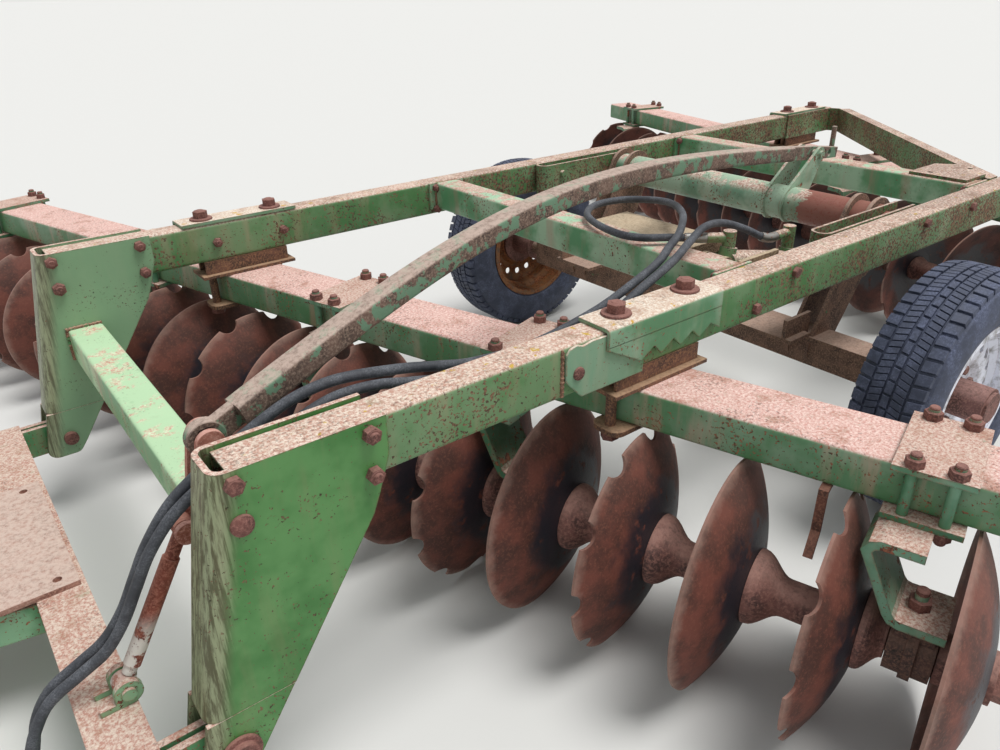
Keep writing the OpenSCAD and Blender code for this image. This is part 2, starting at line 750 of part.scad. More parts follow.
// Rockshaft: a pipe with journals, and the lever that the levelling rod hangs on
module rockshaft_pipe() {
    color(paint_green) place() {
        difference() {
            pin_y([-shaft_x, shaft_z], shaft_d, -shaft_half, 2 * shaft_half);
            pin_y([-shaft_x, shaft_z], shaft_d - 4 * wall, -shaft_half + 20, 2 * shaft_half - 40);
        }
        both_sides() pin_y([-shaft_x, shaft_z], journal_d, shaft_half - 5, y_in - 8 - shaft_half + 5);
        for (y = [lever_y - lever_gap / 2 - lever_t, lever_y + lever_gap / 2]) side_plate(y, lever_t)
            difference() {
                bar([-shaft_x, shaft_z], lever_eye, 62, 24);
                translate([-shaft_x, shaft_z]) circle(shaft_d / 2 - wall);
            }
        pin_y(lever_eye, pin_d, lever_y - lever_gap / 2 - lever_t - 8, lever_gap + 2 * lever_t + 16);
    }
}

// Wheel axle: beam, spindles and two arms of paired plates that grip the rockshaft
module arm_plate() {
    difference() {
        union() {
            bar([-shaft_x, shaft_z], [-axle_x, wheel_z], arm_r, 58);
            bar([-shaft_x, shaft_z], rod_eye, arm_r, 34);
        }
        translate([-shaft_x, shaft_z]) circle(shaft_d / 2 + seat_fit);
    }
}

module wheel_axle() {
    color(rust_brown) place() {
        difference() {
            translate([-axle_x - axle_beam_w / 2, -axle_half, wheel_z - axle_beam_h / 2])
                cube([axle_beam_w, 2 * axle_half, axle_beam_h]);
            translate([-axle_x - axle_beam_w / 2 + wall, -axle_half + 20, wheel_z - axle_beam_h / 2 + wall])
                cube([axle_beam_w - 2 * wall, 2 * axle_half - 40, axle_beam_h - 2 * wall]);
        }
        both_sides() {
            for (s = [-1, 1]) side_plate(cylinder_y - arm_t / 2 + s * (arm_gap + arm_t) / 2, arm_t) arm_plate();
            pin_y([-axle_x, wheel_z], spindle_d, axle_half - 1, spindle_end - axle_half + 1);
            translate([-axle_x + 45, cylinder_y - 150, wheel_z + axle_beam_h / 2]) cube([100, 180, wall * 2]);
            side_plate(cylinder_y - 3, 12) polygon([[-axle_x + 20, wheel_z + 40], [-axle_x + 145, wheel_z + 45],
                [-axle_x + 145, wheel_z + 115], [-axle_x + 20, wheel_z + 115]]);
        }
        pin_y(rod_eye, pin_d, cylinder_y - arm_gap / 2 - arm_t - 8, arm_gap + 2 * arm_t + 16);
    }
}

// Wheels, drawn for the left side with the axis along z and the outside up
module wheel_side(side) {
    place() translate([-axle_x, side * track_half, wheel_z]) rotate([side > 0 ? -90 : 90, 0, 0]) children();
}

module rim_shape() {
    r = rim_d / 2;
    h = rim_w / 2;
    s = 5;
    well = r - 20;
    bore = hub_d / 2 + seat_fit;
    polygon([[r + 15, h + 5], [r + 15, h], [r, h - 3], [r, 48], [well, 34], [well, -22], [r, -38],
        [r, -h + 3], [r + 15, -h], [r + 15, -h - 5], [r - s, -h - 5], [r - s, -36], [well - s, -20],
        [well - s, 22], [well - 26, 37], [well - 48, 42], [well - 74, 36], [well - 88, 22], [bore, 22],
        [bore, 30], [well - 92, 30], [well - 78, 44], [well - 48, 50], [well - 22, 44], [well - s, 32],
        [r - s, 50], [r - s, h + 5]]);
}

module rim() {
    difference() {
        rotate_extrude($fn = 96) rim_shape();
        for (i = [0:15]) rotate(i * 360 / 16) translate([rim_d / 2 - 60, 0, 0]) cylinder(d = 27, h = 90);
    }
}

function other_side(p) = [for (i = [len(p) - 1:-1:0]) [p[i][0], -p[i][1]]];

module tyre() {
    r = tyre_d / 2;
    w = tyre_w / 2;
    bead = rim_d / 2 + seat_fit;
    seat = rim_w / 2 - 3 - seat_fit;
    outside = [[bead, seat], [bead + 18, seat], [bead + 21, rim_w / 2 + 3], [bead + 40, w - 6],
        [bead + 66, w], [r - 54, w - 2], [r - 26, w - 12], [r - 9, w - 26], [r, w - 42]];
    inside = [[r - 24, w - 34], [bead + 60, w - 16], [bead + 20, seat - 20], [bead, seat - 24]];
    rotate_extrude($fn = 96)
        polygon(concat(outside, other_side(outside), other_side(inside), inside));
}

module hub() {
    difference() {
        union() {
            translate([0, 0, -96]) cylinder(d = hub_d, h = 218);
            translate([0, 0, 10]) cylinder(d = hub_d + 76, h = 12 - seat_fit);
            translate([0, 0, 110]) cylinder(d = hub_d - 18, h = 20);
        }
        translate([0, 0, -97]) cylinder(d = spindle_d + 2 * running_fit, h = 200);
    }
}

module left_rim() {
    color(rim_white) wheel_side(1) rim();
}

module right_rim() {
    color(rim_orange) wheel_side(-1) rim();
}

module left_tyre() {
    color(rubber_black) wheel_side(1) tyre();
}

module right_tyre() {
    color(rubber_black) wheel_side(-1) tyre();
}

module left_hub() {
    color(rust_brown) wheel_side(1) hub();
}

module right_hub() {
    color(rust_brown) wheel_side(-1) hub();
}

// Hydraulic cylinder, drawn along z from its base pin towards the rod's eye
module cylinder_line() {
    place() translate([base_pin[0], cylinder_y, base_pin[1]]) rotate([0, atan2(cyl_dir[0], cyl_dir[1]), 0])
        children();
}

// An elbow on a port: up from the barrel, then level towards its hose's end
module elbow(port, end) {
    foot = base_pin + cyl_way * port;
    top = [foot[0] + cyl_up[0] * barrel_d / 2, cylinder_y, end[2]];
    low = foot[1] + barrel_d / 2 - 6;
    d = end - top;
    translate([top[0], top[1], low]) cylinder(d = fitting_d + 8, h = end[2] + 18 - low);
    translate(top) rotate([0, 90, atan2(d[1], d[0])]) cylinder(d = fitting_d, h = norm(d) - 2 * seat_fit);
}

module cylinder_barrel() {
    color(paint_green) {
        barrel();
        place() {
            elbow(port_a, last(route_a));
            elbow(port_b, last(route_b));
        }
    }
}

module barrel() {
    cylinder_line() difference() {
        union() {
            translate([0, 0, 34]) cylinder(d = barrel_d, h = barrel_l - 34);
            translate([0, 0, barrel_l - 40]) cylinder(d = barrel_d + 8, h = 26);
            rotate([90, 0, 0]) translate([0, 0, -eye_w / 2]) cylinder(d = 58, h = eye_w);
            translate([-24, -eye_w / 2, 0]) cube([48, eye_w, 40]);
            for (z = [port_a, port_b]) translate([0, 0, z]) rotate([0, 90, 0]) cylinder(d = 44, h = barrel_d / 2 + 9);
        }
        rotate([90, 0, 0]) translate([0, 0, -eye_w]) cylinder(d = pin_d + 2 * running_fit, h = 2 * eye_w);
        translate([0, 0, 60]) cylinder(d = barrel_d - 16, h = barrel_l - 80);
        translate([0, 0, 60]) cylinder(d = rod_d + 2 * running_fit, h = barrel_l);
    }
}

module cylinder_rod() {
    eye = pin_d + 2 * eye_play;
    color("silver") cylinder_line() difference() {
        union() {
            translate([0, 0, 150]) cylinder(d = rod_d, h = cyl_l - 150 - 20);
            translate([0, 0, 150]) cylinder(d = barrel_d - 17, h = 30);
            translate([0, 0, cyl_l]) rotate([90, 0, 0]) translate([0, 0, -eye_w / 2]) cylinder(d = eye + 26, h = eye_w);
        }
        translate([0, 0, cyl_l]) rotate([90, 0, 0]) translate([0, 0, -eye_w]) cylinder(d = eye, h = 2 * eye_w);
    }
}

// Levelling rod: arched in its own upright plane, from the bell crank back to the lever
rod_curve = [[0, 0], [737, 268], [964, 287], [rod_span, rod_rise]];

function bezier(p, t) = pow(1 - t, 3) * p[0] + 3 * pow(1 - t, 2) * t * p[1]
    + 3 * (1 - t) * t * t * p[2] + pow(t, 3) * p[3];
function bezier_way(p, t) = 3 * pow(1 - t, 2) * (p[1] - p[0]) + 6 * (1 - t) * t * (p[2] - p[1])
    + 3 * t * t * (p[3] - p[2]);
function beside(p, t, d) = let (w = bezier_way(p, t) / norm(bezier_way(p, t))) bezier(p, t) + d * [-w[1], w[0]];

module rod_band(from, to, h) {
    steps = 24;
    polygon([for (i = [0:steps]) beside(rod_curve, from + (to - from) * i / steps, h / 2),
        for (i = [steps:-1:0]) beside(rod_curve, from + (to - from) * i / steps, -h / 2)]);
}

module rod_plane(w) {
    translate([rod_front[0], link_y, rod_front[1]]) rotate(rod_plan) rotate([90, 0, 0]) mirror([1, 0, 0])
        translate([0, 0, -w / 2]) linear_extrude(w) children();
}

module levelling_rod() {
    eye = pin_d + 2 * eye_play;
    way = bezier_way(rod_curve, 1) / norm(bezier_way(rod_curve, 1));
    color(rust_pink) place() difference() {
        union() {
            rod_plane(level_rod_w) rod_band(0.035, 0.95, level_rod_h);
            rod_plane(rod_eye_t) rod_band(0.012, 0.04, level_rod_h);
            pin_y(rod_front, eye + 24, link_y - rod_eye_t / 2, rod_eye_t);
            rod_plane(rod_end_w) {
                rod_band(0.94, 1, level_rod_h);
                polygon([for (p = [[0, 1], [rod_tail, 0.8], [rod_tail, -0.8], [0, -1]])
                    rod_curve[3] + way * p[0] + [-way[1], way[0]] * p[1] * level_rod_h / 2]);
            }
            rod_plane(16) translate(rod_curve[3] + way * (rod_tail - 30)) square([14, 78]);
        }
        pin_y(rod_front, eye, link_y - 60, 120);
        pin_y(lever_eye, pin_d + 2 * running_fit, lever_y - 60, 120);
        rod_plane(rod_end_w + 2) for (i = [0:2]) translate(rod_curve[3] + way * (48 + 42 * i)) circle(d = 24);
    }
}

// Bell crank: two plates on a bushing, with the pins for the rod and the link
module bell_crank() {
    color(rust_brown) place() difference() {
        union() {
            for (y = [link_y - crank_gap / 2 - crank_t, link_y + crank_gap / 2]) side_plate(y, crank_t) {
                bar(crank_pin, rod_front, 26, 24);
                bar(crank_pin, link_top, 15, 15);
                translate(link_top) circle(20);
            }
            pin_y(crank_pin, pin_d + 11, link_y - crank_gap / 2 - 1, crank_gap + 2);
            pin_y(rod_front, pin_d, link_y - crank_gap / 2 - crank_t, crank_gap + 2 * crank_t);
            pin_y(link_top, link_pin_d, link_y - crank_gap / 2 - crank_t, crank_gap + 2 * crank_t);
        }
        pin_y(crank_pin, pin_d + 2 * running_fit, link_y - 60, 120);
    }
}

// Hitch link: a round bar with an eye at each end
module hitch_link() {
    d = link_low - link_top;
    color(rust_brown) place() difference() {
        union() {
            translate([link_top[0], link_y, link_top[1]]) rotate([0, atan2(d[0], d[1]), 0]) {
                translate([0, 0, 12]) cylinder(d = link_d - 6, h = norm(d) - 34);
                translate([0, 0, 60]) cylinder(d = link_d, h = norm(d) - 100);
            }
            pin_y(link_top, link_pin_d + 17, link_y - link_eye_t / 2, link_eye_t);
            pin_y(link_low, pin_d + 16, link_y - link_eye_t / 2, link_eye_t);
        }
        pin_y(link_top, link_pin_d + 2 * running_fit, link_y - 60, 120);
        pin_y(link_low, pin_d + 6, link_y - 60, 120);
    }
}

// Hitch tube: swings on the hitch plates' pins by two pairs of arm plates
module hitch_tube() {
    lug = link_eye_t / 2 + lug_clear;
    color(paint_green) place() {
        difference() {
            union() {
                translate([hitch_tube_x - hitch_tube_w / 2, -hitch_half, hitch_tube_z - hitch_tube_w / 2])
                    cube([hitch_tube_w, 2 * hitch_half, hitch_tube_w]);
                both_sides() for (y = [y_mid - 20, y_mid + 5]) side_plate(y, 15) {
                    translate([hitch_pivot_x, hitch_pivot_z]) circle(42);
                    translate([hitch_pivot_x, hitch_pivot_z - 42])
                        square([hitch_tube_x - hitch_tube_w / 2 - hitch_pivot_x + 2, 84]);
                }
            }
            translate([hitch_tube_x - hitch_tube_w / 2 + wall, -hitch_half - 1, hitch_tube_z - hitch_tube_w / 2 + wall])
                cube([hitch_tube_w - 2 * wall, 2 * hitch_half + 2, hitch_tube_w - 2 * wall]);
            both_sides() pin_y([hitch_pivot_x, hitch_pivot_z], hitch_pin_d + 2 * running_fit, y_mid - 40, 80);
        }
        for (y = [link_y - lug - lug_t, link_y + lug]) side_plate(y, lug_t) {
            translate(link_low) circle(24);
            translate([hitch_tube_x - hitch_tube_w / 2, hitch_tube_z + hitch_tube_w / 2]) square([60, 12]);
            translate([hitch_tube_x - hitch_tube_w / 2, hitch_tube_z + hitch_tube_w / 2]) square([34, 24]);
        }
        pin_y(link_low, pin_d, link_y - lug - lug_t - 6, 2 * (lug + lug_t) + 12);
    }
}

// Tongue: two legs that meet behind a flat towing eye
tongue_root = hitch_tube_x + hitch_tube_w / 2;
tongue_head = eye_x - 130;
leg_slope = 170 / (tongue_head - tongue_root);
leg_spread = 195;
head_half = 62;

module tongue_shape() {
    across = tongue_w / 2 * norm([1, leg_slope]);
    shoulder = tongue_root + (leg_spread + across - head_half) / leg_slope;
    polygon([[tongue_root, leg_spread + across], [shoulder, head_half], [tongue_head + 40, head_half],
        [tongue_head + 40, -head_half], [shoulder, -head_half], [tongue_root, -leg_spread - across],
        [tongue_root, -leg_spread + across], [tongue_root + (leg_spread - across) / leg_slope, 0],
        [tongue_root, leg_spread - across]]);
}

module tongue() {
    eye_half = 45;
    color(paint_green) place() translate([0, -eye_right, 0]) {
        translate([0, 0, hitch_tube_z - tongue_h / 2]) linear_extrude(tongue_h) tongue_shape();
        difference() {
            translate([0, 0, hitch_tube_z - eye_t / 2]) linear_extrude(eye_t) {
                translate([tongue_head + 30, 0.5 - eye_half]) square([eye_x - tongue_head - 30, 2 * eye_half - 1]);
                translate([eye_x, 0]) circle(eye_half);
            }
            translate([eye_x, 0, 0]) cylinder(d = eye_d, h = 600);
        }
    }
}

// Tongue plate: the flat plate over the legs' roots, bolted to the hitch tube
module tongue_plate() {
    x0 = hitch_tube_x - hitch_tube_w / 2 + 10;
    color(rust_pink) place() {
        difference() {
            translate([x0, -314, hitch_tube_z + hitch_tube_w / 2]) cube([400, 460, 12]);
            for (y = [-285, 115]) translate([hitch_tube_x, y, 0]) cylinder(d = 18, h = 600);
        }
        translate([tongue_root + 1, -314, hitch_tube_z + tongue_h / 2]) cube([304, 12, 12]);
    }
}

// Hoses: swept along their points, with a coupler at each front end
module hose(route) {
    n = len(route);
    way = [for (i = [0:n - 1]) let (a = route[max(i - 1, 0)], b = route[min(i + 1, n - 1)]) (b - a) / norm(b - a)];
    side = [for (w = way) let (s = cross(w, [0.13, 0.21, 1])) s / norm(s)];
    points = [for (i = [0:n - 1], j = [0:hose_sides - 1])
        let (a = 360 * j / hose_sides) route[i] + hose_d / 2 * (cos(a) * side[i] + sin(a) * cross(way[i], side[i]))];
    faces = concat([[for (j = [0:hose_sides - 1]) j]],
        [for (i = [0:n - 2], j = [0:hose_sides - 1]) let (k = (j + 1) % hose_sides)
            [i * hose_sides + j, (i + 1) * hose_sides + j, (i + 1) * hose_sides + k, i * hose_sides + k]],
        [[for (j = [hose_sides - 1:-1:0]) (n - 1) * hose_sides + j]]);
    polyhedron(points, faces, convexity = 8);
}

module hose_a() {
    color(rubber_black) place() hose(route_a);
}

module hose_b() {
    color(rubber_black) place() hose(route_b);
}

module coupler(route) {
    d = route[0] - route[1];
    color("silver") place() translate(route[0]) rotate([0, acos(d[2] / norm(d)), atan2(d[1], d[0])]) {
        cylinder(d = fitting_d, h = coupler_l * 0.45);
        cylinder(d = fitting_d - 6, h = coupler_l * 0.8);
        cylinder(d = fitting_d - 9, h = coupler_l);
    }
}

module coupler_a() {
    coupler(route_a);
}

module coupler_b() {
    coupler(route_b);
}

side_beams();
cross_tubes();
hitch_plates();
diagonal_brace();
gang_saddles();
front_gang_beam();
rear_gang_beam();
front_standards();
rear_standards();
front_bearings();
rear_bearings();
rockshaft_hangers();
cylinder_bracket();
crank_lugs();
loose_strap();
hose_a();
hose_b();
coupler_a();
coupler_b();
front_plain_discs();
front_notched_discs();
front_spools();
rear_plain_discs();
rear_notched_discs();
rear_spools();
rockshaft_pipe();
wheel_axle();
left_rim();
left_tyre();
left_hub();
right_rim();
right_tyre();
right_hub();
cylinder_barrel();
cylinder_rod();
levelling_rod();
bell_crank();
hitch_link();
hitch_tube();
tongue();
tongue_plate();
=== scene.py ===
"""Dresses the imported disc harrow: finishes, fasteners, tyres, hoses, light and camera."""

from __future__ import annotations

import logging
import math
from dataclasses import dataclass, field
from enum import Enum
from typing import Any, Iterable, Sequence

import bmesh
import bpy
import numpy as np
from mathutils import Matrix, Vector
from mathutils.geometry import tessellate_polygon

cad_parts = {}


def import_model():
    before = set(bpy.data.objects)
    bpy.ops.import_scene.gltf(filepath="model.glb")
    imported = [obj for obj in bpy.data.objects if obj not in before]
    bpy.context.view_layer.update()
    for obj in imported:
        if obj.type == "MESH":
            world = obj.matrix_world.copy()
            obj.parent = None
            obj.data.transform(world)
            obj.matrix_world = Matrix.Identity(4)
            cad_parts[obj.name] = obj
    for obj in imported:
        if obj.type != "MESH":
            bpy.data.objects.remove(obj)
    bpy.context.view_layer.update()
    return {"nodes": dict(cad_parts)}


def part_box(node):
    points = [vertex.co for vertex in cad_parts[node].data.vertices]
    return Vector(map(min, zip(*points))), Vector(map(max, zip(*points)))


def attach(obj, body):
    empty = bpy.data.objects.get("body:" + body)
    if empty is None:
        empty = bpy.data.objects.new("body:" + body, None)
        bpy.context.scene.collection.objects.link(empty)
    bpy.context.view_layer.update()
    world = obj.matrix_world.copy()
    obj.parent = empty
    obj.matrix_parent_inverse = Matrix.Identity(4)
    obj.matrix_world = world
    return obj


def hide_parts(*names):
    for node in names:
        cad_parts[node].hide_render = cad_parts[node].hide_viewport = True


LOG = logging.getLogger("harrow")
# A millimetre in metres, the rays of a bevel sample, how far the hitch plates' front edge comes back per
# metre of height, and the step of a weld bead's ripple in millimetres.
MM = 0.001
BEVEL_RAYS = 4
PLATE_LEAN = 0.196
RIPPLE = 3.0
Loop = Sequence[tuple[float, float]]


# Shapes


@dataclass
class Form:
    """One closed shape: points in millimetres and faces that index them."""

    points: np.ndarray
    faces: list[tuple[int, ...]]

    def moved(self, matrix: Matrix) -> Form:
        """The shape set in place by a matrix, its faces turned if that mirrors it."""
        m = np.array(matrix)
        faces = self.faces if np.linalg.det(m[:3, :3]) > 0 else [f[::-1] for f in self.faces]
        return Form(self.points @ m[:3, :3].T + m[:3, 3], faces)


def joined(forms: Iterable[Form]) -> Form:
    """Several shapes as one list of points and faces."""
    points, faces, start = [], [], 0
    for form in forms:
        points.append(form.points)
        faces += [tuple(i + start for i in f) for f in form.faces]
        start += len(form.points)
    return Form(np.vstack(points), faces)


def spot(x: float, y: float, z: float, up: Sequence[float] = (0, 0, 1), turn: float = 0.0) -> Matrix:
    """A place for a shape drawn round z.

    Args:
        x, y, z: The shape's origin in machine millimetres.
        up: Where the shape's z axis points.
        turn: Degrees that the shape is turned about its own z axis first.

    Returns:
        The matrix that sets the shape there.
    """
    way = Vector(up).normalized()
    side = Vector((0, 1, 0)).cross(way) if abs(way.y) < 0.9 else Vector((1, 0, 0))
    side = (side - way * side.dot(way)).normalized()
    axes = Matrix((side, way.cross(side), way)).transposed().to_4x4()
    return Matrix.Translation((x, y, z)) @ axes @ Matrix.Rotation(math.radians(turn), 4, "Z")


def inset(loop: Loop, distance: float) -> list[tuple[float, float]]:
    """The loop moved to its left by a distance, mitred at its corners."""
    p = np.array(loop, float)
    ahead, back = np.roll(p, -1, 0) - p, p - np.roll(p, 1, 0)
    ahead /= np.linalg.norm(ahead, axis=1)[:, None]
    back /= np.linalg.norm(back, axis=1)[:, None]
    a, b = ahead[:, ::-1] * (-1, 1), back[:, ::-1] * (-1, 1)
    return [tuple(q) for q in p + distance * (a + b) / (1 + (a * b).sum(1))[:, None]]


def fillet(loop: Loop, radius: float | Sequence[float], steps: int = 5) -> list[tuple[float, float]]:
    """Rounds a loop's corners.

    Args:
        loop: Corners in order.
        radius: One radius, or one for each corner, where 0 stays sharp.
        steps: Pieces of each arc.

    Returns:
        The rounded loop.
    """
    p = [np.array(q, float) for q in loop]
    radii = [radius] * len(p) if isinstance(radius, (int, float)) else radius
    out: list[tuple[float, float]] = []
    for i, (q, r) in enumerate(zip(p, radii)):
        a, b = p[i - 1] - q, p[(i + 1) % len(p)] - q
        la, lb = np.linalg.norm(a), np.linalg.norm(b)
        a, b = a / la, b / lb
        half = math.acos(max(-1.0, min(1.0, float(a @ b)))) / 2
        if r <= 0 or half > 1.55:
            out.append(tuple(q))
            continue
        reach = min(r / math.tan(half), 0.49 * la, 0.49 * lb)
        r = reach * math.tan(half)
        centre = q + (a + b) / np.linalg.norm(a + b) * r / math.sin(half)
        v0, v1 = q + a * reach - centre, q + b * reach - centre
        t0, t1 = math.atan2(v0[1], v0[0]), math.atan2(v1[1], v1[0])
        t1 = t0 + (t1 - t0 + math.pi) % (2 * math.pi) - math.pi
        for t in np.linspace(t0, t1, steps + 1):
            out.append(tuple(centre + r * np.array([math.cos(t), math.sin(t)])))
    return out


def rectangle(w: float, h: float, radius: float = 0.0, steps: int = 5) -> list[tuple[float, float]]:
    """A rectangle round the origin, with round corners if a radius is given."""
    corners = [(-w / 2, -h / 2), (w / 2, -h / 2), (w / 2, h / 2), (-w / 2, h / 2)]
    return fillet(corners, radius, steps) if radius else corners


def ring(radius: float, count: int, start: float = 0.0) -> list[tuple[float, float]]:
    """A regular loop of points on a circle, counter-clockwise."""
    return [(radius * math.cos(a), radius * math.sin(a))
            for a in (math.radians(start) + 2 * math.pi * i / count for i in range(count))]


def prism(outline: Loop, height: float, chamfer: float = 1.0, holes: Sequence[Loop] = ()) -> Form:
    """Extrudes an outline from z = 0 to a height.

    Args:
        outline: Counter-clockwise outline.
        height: Thickness along z.
        chamfer: Size of the broken edges.
        holes: Counter-clockwise outlines of through holes.

    Returns:
        The closed shape.
    """
    loops = [list(outline)] + [list(h)[::-1] for h in holes]
    levels = [(0.0, chamfer), (chamfer, 0.0), (height - chamfer, 0.0), (height, chamfer)]
    points: list[tuple[float, float, float]] = []
    for z, c in levels:
        for loop in loops:
            points += [(x, y, z) for x, y in (inset(loop, c) if c else loop)]
    count = sum(len(loop) for loop in loops)
    faces: list[tuple[int, ...]] = []
    start = 0
    for loop in loops:
        n = len(loop)
        for level in range(3):
            base = level * count + start
            for i in range(n):
                a, b = base + i, base + (i + 1) % n
                faces.append((a, b, b + count, a + count))
        start += n
    if holes:
        cap = tessellate_polygon([[Vector((x, y, 0)) for x, y in loop] for loop in loops])
        faces += [tuple(t)[::-1] for t in cap] + [tuple(i + 3 * count for i in t) for t in cap]
    else:
        faces += [tuple(range(count))[::-1], tuple(range(3 * count, 4 * count))]
    return Form(np.array(points, float), faces)


def lathe(profile: Loop, steps: int = 48, closed: bool = False) -> Form:
    """Turns a profile of (radius, height) round z.

    Args:
        profile: Points from one end to the other; a radius of 0 makes a pole.
        steps: Points round each ring.
        closed: Whether the last point joins the first, as in a tyre.

    Returns:
        The turned shape.
    """
    points: list[tuple[float, float, float]] = []
    rows: list[list[int]] = []
    for r, z in profile:
        ends = [(0.0, 0.0)] if r < 1e-6 else ring(r, steps)
        rows.append([len(points) + i for i in range(len(ends))])
        points += [(x, y, z) for x, y in ends]
    faces: list[tuple[int, ...]] = []
    for a, b in zip(rows, rows[1:] + (rows[:1] if closed else [])):
        for i in range(steps):
            j = (i + 1) % steps
            corners = [a[i % len(a)], a[j % len(a)], b[j % len(b)], b[i % len(b)]]
            faces.append(tuple(dict.fromkeys(corners)))
    if not closed:
        for row in (rows[0], rows[-1]):
            if len(row) > 1:
                faces.append(tuple(row))
    return Form(np.array(points, float), faces)


def sweep(path: np.ndarray, outline: Loop, scale: Sequence[float] | None = None,
          up: Sequence[float] = (0, 0, 1)) -> Form:
    """Carries an outline along a path.

    Args:
        path: Points in millimetres.
        outline: Outline drawn round the path, its y axis towards up.
        scale: A size factor at each point.
        up: Which way the outline's y axis leans.

    Returns:
        The closed shape.
    """
    path = np.asarray(path, float)
    way = np.gradient(path, axis=0)
    way /= np.linalg.norm(way, axis=1)[:, None]
    side = np.cross(way, np.array(up, float))
    side /= np.linalg.norm(side, axis=1)[:, None]
    high = np.cross(side, way)
    flat = np.array(outline, float)
    factor = np.ones(len(path)) if scale is None else np.asarray(scale, float)
    rows = path[:, None] + factor[:, None, None] * (
        flat[None, :, :1] * side[:, None] + flat[None, :, 1:] * high[:, None])
    n, m = len(path), len(flat)
    faces = [(r * m + i, r * m + (i + 1) % m, (r + 1) * m + (i + 1) % m, (r + 1) * m + i)
             for r in range(n - 1) for i in range(m)]
    faces += [tuple(range(m))[::-1], tuple(range((n - 1) * m, n * m))]
    return Form(rows.reshape(-1, 3), faces)


def smooth_path(points: Sequence[Sequence[float]], step: float) -> np.ndarray:
    """A smooth curve through points.

    Args:
        points: Points that the curve passes.
        step: Distance between the points that come back.

    Returns:
        Evenly spaced points along the curve.
    """
    p = np.array(points, float)
    p = np.vstack([2 * p[0] - p[1], p, 2 * p[-1] - p[-2]])
    fine = []
    for a, b, c, d in zip(p, p[1:], p[2:], p[3:]):
        for t in np.linspace(0, 1, 24, endpoint=False):
            fine.append(0.5 * (2 * b + (c - a) * t + (2 * a - 5 * b + 4 * c - d) * t ** 2
                               + (3 * b - a - 3 * c + d) * t ** 3))
    fine = np.array(fine + [p[-2]])
    run = np.concatenate([[0], np.cumsum(np.linalg.norm(np.diff(fine, axis=0), axis=1))])
    at = np.linspace(0, run[-1], max(2, round(run[-1] / step) + 1))
    return np.stack([np.interp(at, run, fine[:, k]) for k in range(3)], axis=1)


@dataclass
class Placing:
    """Where the machine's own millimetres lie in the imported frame."""

    x: float
    y: float

    @classmethod
    def from_frame(cls, beam_front: float = 28.0) -> Placing:
        """Reads the shift from the side beams, which end 28 mm behind the front datum."""
        low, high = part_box("side_beams")
        return cls(high.x / MM + beam_front, (low.y + high.y) / 2 / MM)

    def metres(self, points: Any) -> np.ndarray:
        """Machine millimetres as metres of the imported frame."""
        return (np.asarray(points, float) + (self.x, self.y, 0.0)) * MM


class Piece:
    """One visible object in the making, filled with shapes in machine millimetres."""

    place: Placing

    def __init__(self, name: str, finish: Finish, body: str, slot: str,
                 replaces: Sequence[str] = ()) -> None:
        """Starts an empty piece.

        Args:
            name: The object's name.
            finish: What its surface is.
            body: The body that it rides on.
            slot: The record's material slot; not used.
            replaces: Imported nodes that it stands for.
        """
        self.name, self.finish, self.body, self.slot, self.replaced = name, finish, body, slot, replaces
        self.forms: list[Form] = []

    def add(self, form: Form, *places: Matrix) -> Piece:
        """Adds a shape, once at each place, or as drawn if no place is given."""
        self.forms += [form.moved(m) for m in places] if places else [form]
        return self

    def build(self, sharp: float = 32.0) -> bpy.types.Object:
        """Makes the object, smooth up to an angle between faces, and sets it on its body."""
        whole = joined(self.forms)
        mesh = bpy.data.meshes.new(self.name)
        mesh.from_pydata(self.place.metres(whole.points).tolist(), [], whole.faces)
        mesh.validate()
        work = bmesh.new()
        work.from_mesh(mesh)
        bmesh.ops.recalc_face_normals(work, faces=work.faces)
        work.to_mesh(mesh)
        work.free()
        mesh.shade_smooth()
        mesh.set_sharp_from_angle(angle=math.radians(sharp))
        mesh.materials.append(self.finish.material())
        obj = bpy.data.objects.new(self.name, mesh)
        bpy.context.scene.collection.objects.link(obj)
        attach(obj, self.body)
        if self.replaced:
            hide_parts(*self.replaced)
        LOG.info("%s on %s: %d faces", self.name, self.body, len(mesh.polygons))
        return obj


# Finishes


def linear(code: str) -> tuple[float, float, float, float]:
    """An sRGB hex value, such as "#4f8a5b", as a linear colour."""
    parts = [int(code[i:i + 2], 16) / 255 for i in (1, 3, 5)]
    return tuple(c / 12.92 if c <= 0.04045 else ((c + 0.055) / 1.055) ** 2.4 for c in parts) + (1.0,)


def add(tree: bpy.types.NodeTree, kind: str, inputs: dict[str | int, Any] | None = None,
        **settings: Any) -> bpy.types.Node:
    """Adds a shader node.

    Args:
        tree: The material's node tree.
        kind: The node's type.
        inputs: Value or linked socket for each input, by name or number.
        settings: The node's own settings.

    Returns:
        The new node.
    """
    node = tree.nodes.new(kind)
    for key, value in settings.items():
        setattr(node, key, value)
    for key, value in (inputs or {}).items():
        if isinstance(value, bpy.types.NodeSocket):
            tree.links.new(value, node.inputs[key])
        else:
            node.inputs[key].default_value = value
    return node


